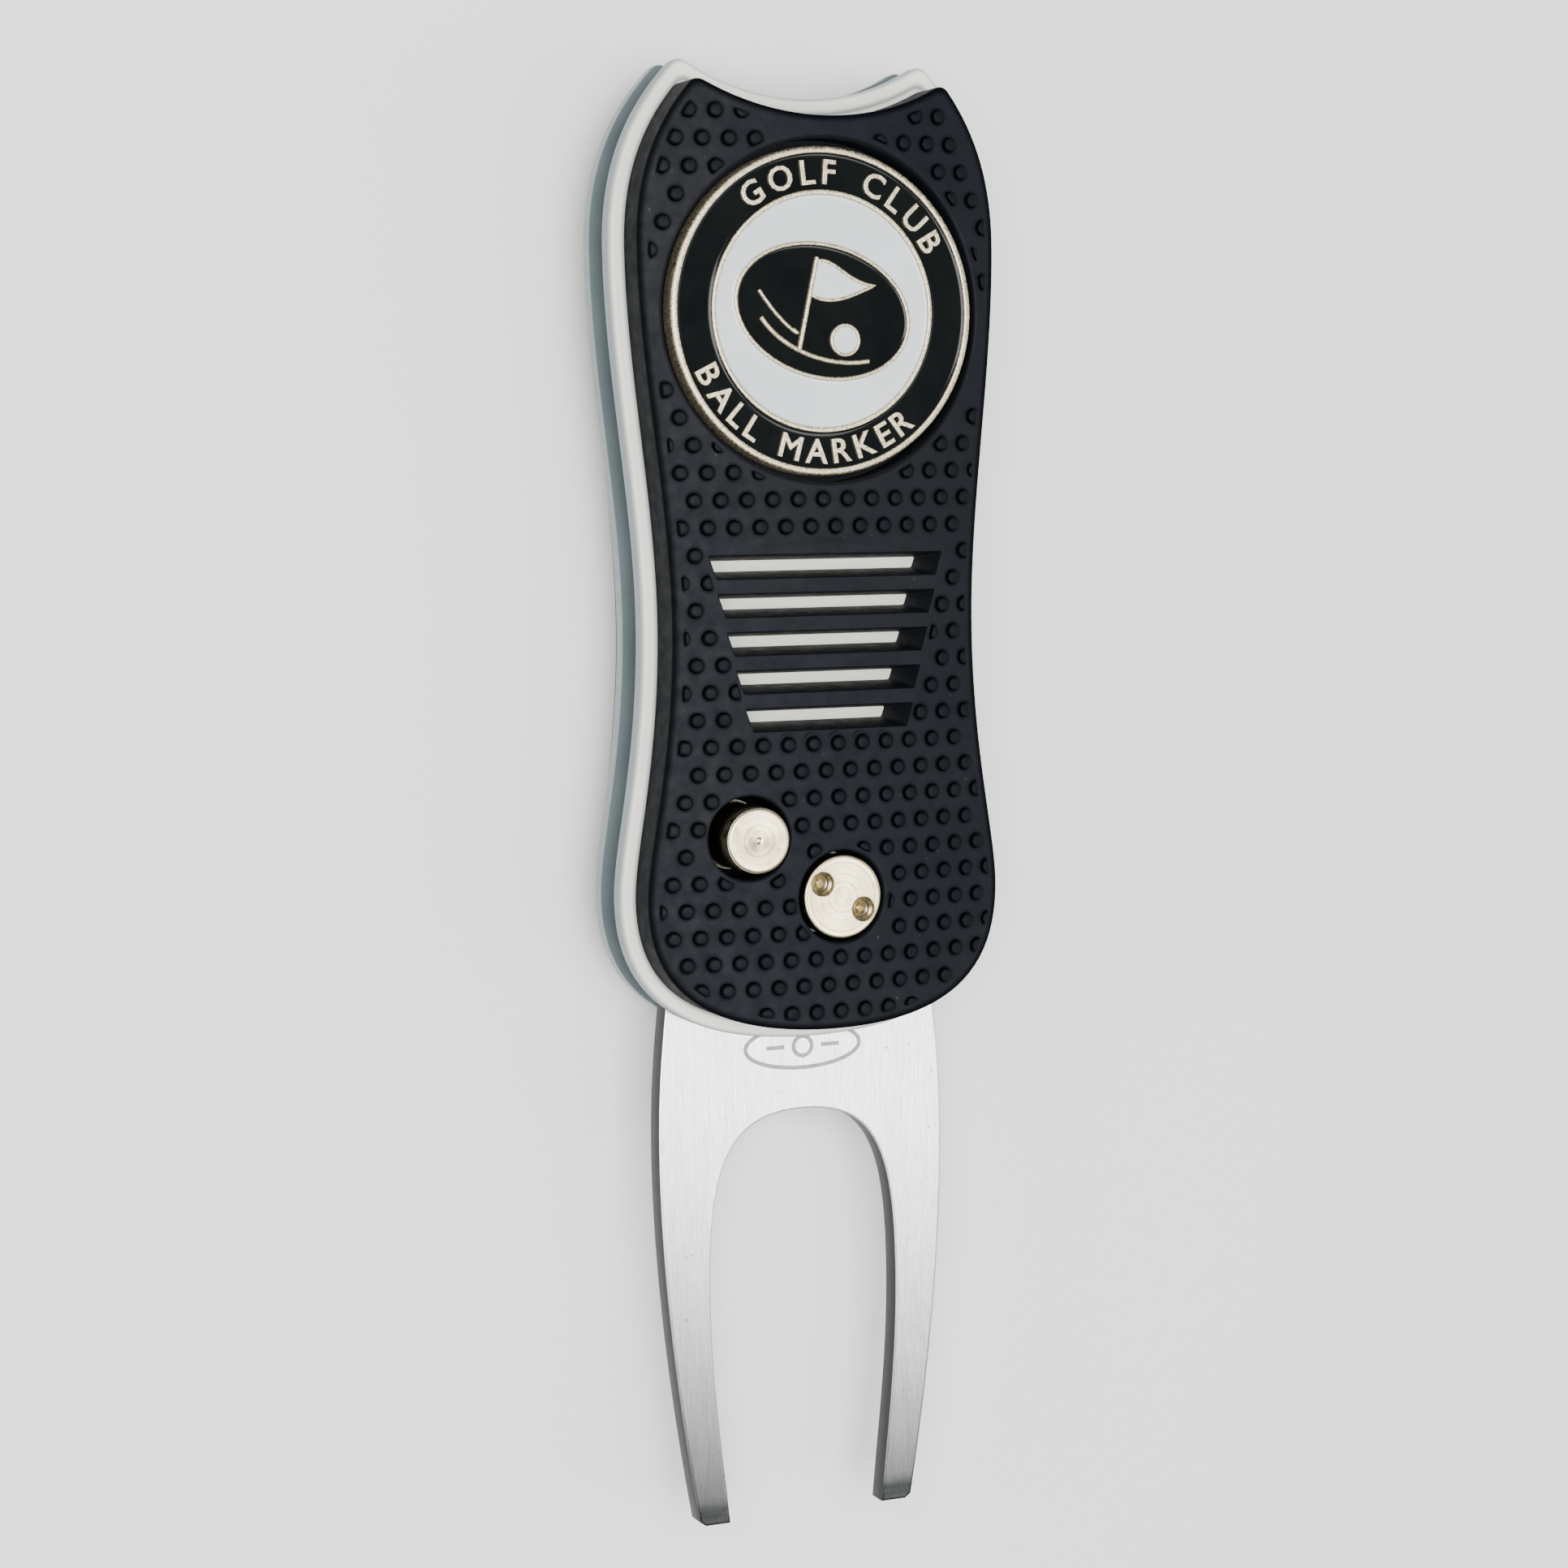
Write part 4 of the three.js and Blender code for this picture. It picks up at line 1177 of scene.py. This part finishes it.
def enamel_band():
    low, high = ENAMEL_LOW_Z, ENAMEL_HIGH_Z
    inner = FENCE_OUTER + 0.02
    outer = MARKER_RADIUS - MARKER_RIM - 0.02
    climb = [(0.0, MENISCUS), (0.07, 0.03), (0.18, 0.007), (0.34, 0.0), (0.5, 0.0)]
    profile = [(inner, low)] + [(inner + d, high + z) for d, z in climb]
    profile += [(outer - d, high + z) for d, z in climb[::-1]] + [(outer, low)]
    shape = Shape()
    lathe(shape, MARKER, profile, COIN_SIDES, closed=True)
    make("dark_ring", shape, "marker", "dark_enamel", ["enamel_band"])


def enamel_fields():
    """White round the oval and black in it, each climbing a little at its edge."""
    low, high = ENAMEL_LOW_Z, ENAMEL_HIGH_Z
    steps = [(0.0, low), (0.0, high + MENISCUS), (0.06, high + 0.03), (0.16, high + 0.007),
             (0.3, high), (0.42, high)]
    gap = 0.4 * RELIEF_WIDTH
    white = Shape()
    slab(white, [(disc_loop(MARKER, FENCE_INNER - 0.02), steps), (oval_loop(gap, True), steps)])
    make("white_field", white, "marker", "white_enamel", ["enamel_disc"])
    dark = Shape()
    slab(dark, [(oval_loop(-gap, False), steps)])
    make("dark_field", dark, "marker", "dark_enamel")


def flag_points():
    """A waving pennant on the emblem."""
    upper = [PENNANT_TOP] + bezier(PENNANT_TOP, (0.2, 4.3), (1.4, 2.6), PENNANT_END, 14)
    lower = bezier(PENNANT_END, (2.6, 2.2), (1.0, 0.4), PENNANT_FOOT, 14)
    return [emblem_point(x, v) for x, v in upper + lower]


def ball_points():
    return [emblem_point(*(BALL + BALL_RADIUS * unit)) for unit in circle(40)]


def white_inlays():
    """Pennant and ball, filled with white enamel."""
    shape = Shape()
    low = MARKER_TOP_Z - ENAMEL_DEPTH + 0.02
    high = ENAMEL_HIGH_Z + 0.05
    for points in (flag_points()[::-1], ball_points()):
        rings = [shape.ring(points, low), shape.ring(points, high)]
        shape.band(*rings)
        sheet(shape, [rings[1]])
        sheet(shape, [rings[0]], flip=True)
    make("white_inlays", shape, "marker", "white_enamel")


def relief_lines():
    """Raised metal lines of the emblem: oval, flagstick, pennant, ball and ground."""
    shape = Shape()
    low = MARKER_TOP_Z - ENAMEL_DEPTH + 0.03
    high = MARKER_TOP_Z
    ribbon(shape, oval_points(EMBLEM_LENGTH, EMBLEM_WIDTH, 120), RELIEF_WIDTH, low, high)
    ribbon(shape, flag_points(), FINE_WIDTH, low, high)
    ribbon(shape, ball_points(), FINE_WIDTH, low, high)
    stick = [emblem_point(STICK_X, v) for v in np.linspace(STICK_TOP, STICK_FOOT, 8)]
    ribbon(shape, stick, BOLD_WIDTH, low, high + 0.02, closed=False)
    for start, sag, end, width in GROUND_LINES:
        ground = [start] + bezier(start, (start[0] * 0.5, sag), (end[0] * 0.4, sag - 0.2), end, 18)
        ribbon(shape, [emblem_point(x, v) for x, v in ground], width, low, high, closed=False)
    make("relief_lines", shape, "marker", "coin_nickel")


def glyph(letter):
    """Vertices and faces of one raised letter."""
    curve = bpy.data.curves.new("glyph", "FONT")
    curve.body = letter
    curve.size = LETTER_SIZE
    curve.extrude = LETTER_HALF_DEPTH
    curve.bevel_depth = LETTER_BEVEL
    curve.bevel_resolution = 1
    curve.resolution_u = 3
    obj = placed("glyph", curve)
    bpy.context.view_layer.update()
    mesh = bpy.data.meshes.new_from_object(obj)
    verts = np.array([tuple(v.co) for v in mesh.vertices])
    faces = [tuple(p.vertices) for p in mesh.polygons]
    bpy.data.objects.remove(obj)
    bpy.data.curves.remove(curve)
    bpy.data.meshes.remove(mesh)
    return verts, faces


def add_word(shape, word, angles, radius, outward):
    """Letters along the dark ring between two angles; outward ones stand away from the centre."""
    first, last = angles
    letters = [None if c == " " else glyph(c) for c in word]
    widths = [WORD_GAP if g is None else np.ptp(g[0][:, 0]) for g in letters]
    span = abs(last - first) * radius
    gap = (span - sum(widths)) / (len(word) - 1)
    along = 0.0
    for pair, width in zip(letters, widths):
        angle = first + math.copysign((along + width / 2) / radius, last - first)
        along += width + gap
        if pair is None:
            continue
        verts, faces = pair
        centre = (verts[:, 0].min() + verts[:, 0].max()) / 2
        radial = np.array([math.cos(angle), math.sin(angle)])
        up = radial if outward else -radial
        right = np.array([up[1], -up[0]])
        start = len(shape.verts)
        for x, y, z in verts:
            point = radial * radius + right * (x - centre) + up * y
            shape.verts.append((*emblem_point(*point), MARKER_TOP_Z - LETTER_SINK + z))
            shape.shade_shares.append(0.0)
        for face in faces:
            shape.face([start + i for i in face])


def lettering():
    shape = Shape()
    add_word(shape, "GOLF CLUB", TOP_WORDS, LETTER_BASE_TOP, True)
    add_word(shape, "BALL MARKER", BOTTOM_WORDS, LETTER_BASE_BOTTOM, False)
    make("lettering", shape, "marker", "coin_nickel")


# ---------------- carried-over CAD

def dress_frame(frame):
    """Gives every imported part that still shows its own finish."""
    for name, obj in frame["nodes"].items():
        record = next(s for s in frame["record"]["subparts"] if s["node"] == name)
        for slot in obj.material_slots:
            slot.material = LOOKS[record["material_slot"]]


# ---------------- studio

def camera():
    data = bpy.data.cameras.new("camera")
    data.lens = CAMERA_LENS
    data.sensor_width = CAMERA_SENSOR
    data.clip_start = 0.01
    obj = placed("camera", data)
    axes = Matrix((CAMERA_RIGHT, CAMERA_UP, CAMERA_BACK)).transposed()
    obj.matrix_world = Matrix.Translation(CAMERA_PLACE) @ axes.to_4x4()
    bpy.context.scene.camera = obj


def softbox(name, place, target, size, radiance, color=(1.0, 1.0, 1.0), turn=0.0):
    """A soft rectangular light of even radiance, aimed at a point and turned about its aim."""
    width, height = size
    data = bpy.data.lights.new(name, "AREA")
    data.shape = "RECTANGLE"
    data.size = width
    data.size_y = height
    data.energy = radiance * math.pi * width * height
    data.color = color
    obj = placed(name, data)
    away = Vector(place) - Vector(target)
    aim = away.to_track_quat("Z", "Y").to_matrix().to_4x4()
    obj.matrix_world = Matrix.Translation(place) @ aim @ Matrix.Rotation(math.radians(turn), 4, "Z")


def lights():
    middle = (0.0, 0.0, 0.01)
    softbox("key", (-0.16, 0.03, 0.6), middle, (0.36, 0.5), 12.0, (1.0, 0.995, 0.98))
    softbox("blade_panel", (0.205, -0.112, 0.48), (0.0, -0.03, 0.01), (0.13, 0.2), 7.5, turn=-25.0)
    softbox("left_strip", (-0.55, 0.03, 0.26), middle, (0.3, 0.14), 2.5)
    softbox("right_fill", (0.55, -0.1, 0.4), middle, (0.4, 0.4), 1.5, (0.93, 0.97, 1.0))
    world = bpy.data.worlds.new("studio")
    bpy.context.scene.world = world
    world.use_nodes = True
    sky = world.node_tree.nodes["Background"]
    sky.inputs["Color"].default_value = SKY_COLOR
    sky.inputs["Strength"].default_value = SKY_STRENGTH


def floor():
    """A wide sheet of pale paper."""
    work = bmesh.new()
    bmesh.ops.create_grid(work, x_segments=40, y_segments=40, size=FLOOR_SIZE)
    for vert in work.verts:
        far = max(0.0, vert.co.length - FLOOR_FLAT_RADIUS)
        vert.co.z = -FLOOR_GAP - FLOOR_FALL * far
    mesh = bpy.data.meshes.new("paper_sheet")
    work.to_mesh(mesh)
    work.free()
    mesh.shade_smooth()
    mesh.materials.append(LOOKS["paper_floor"])
    obj = placed("paper_sheet", mesh)
    obj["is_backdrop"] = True


def corners(box):
    return [list(corner) for corner in box]


def main():
    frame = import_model()
    cad_box = corners(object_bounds())
    make_looks()
    camera()
    lights()
    floor()
    dress_frame(frame)
    for piece in (front_grip, back_grip, liners, fork, pivot, release_button, marker_coin, enamel_band,
                  enamel_fields, white_inlays, relief_lines, lettering):
        piece()
    {"cad_box": cad_box, "visual_box": corners(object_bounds())}


main()
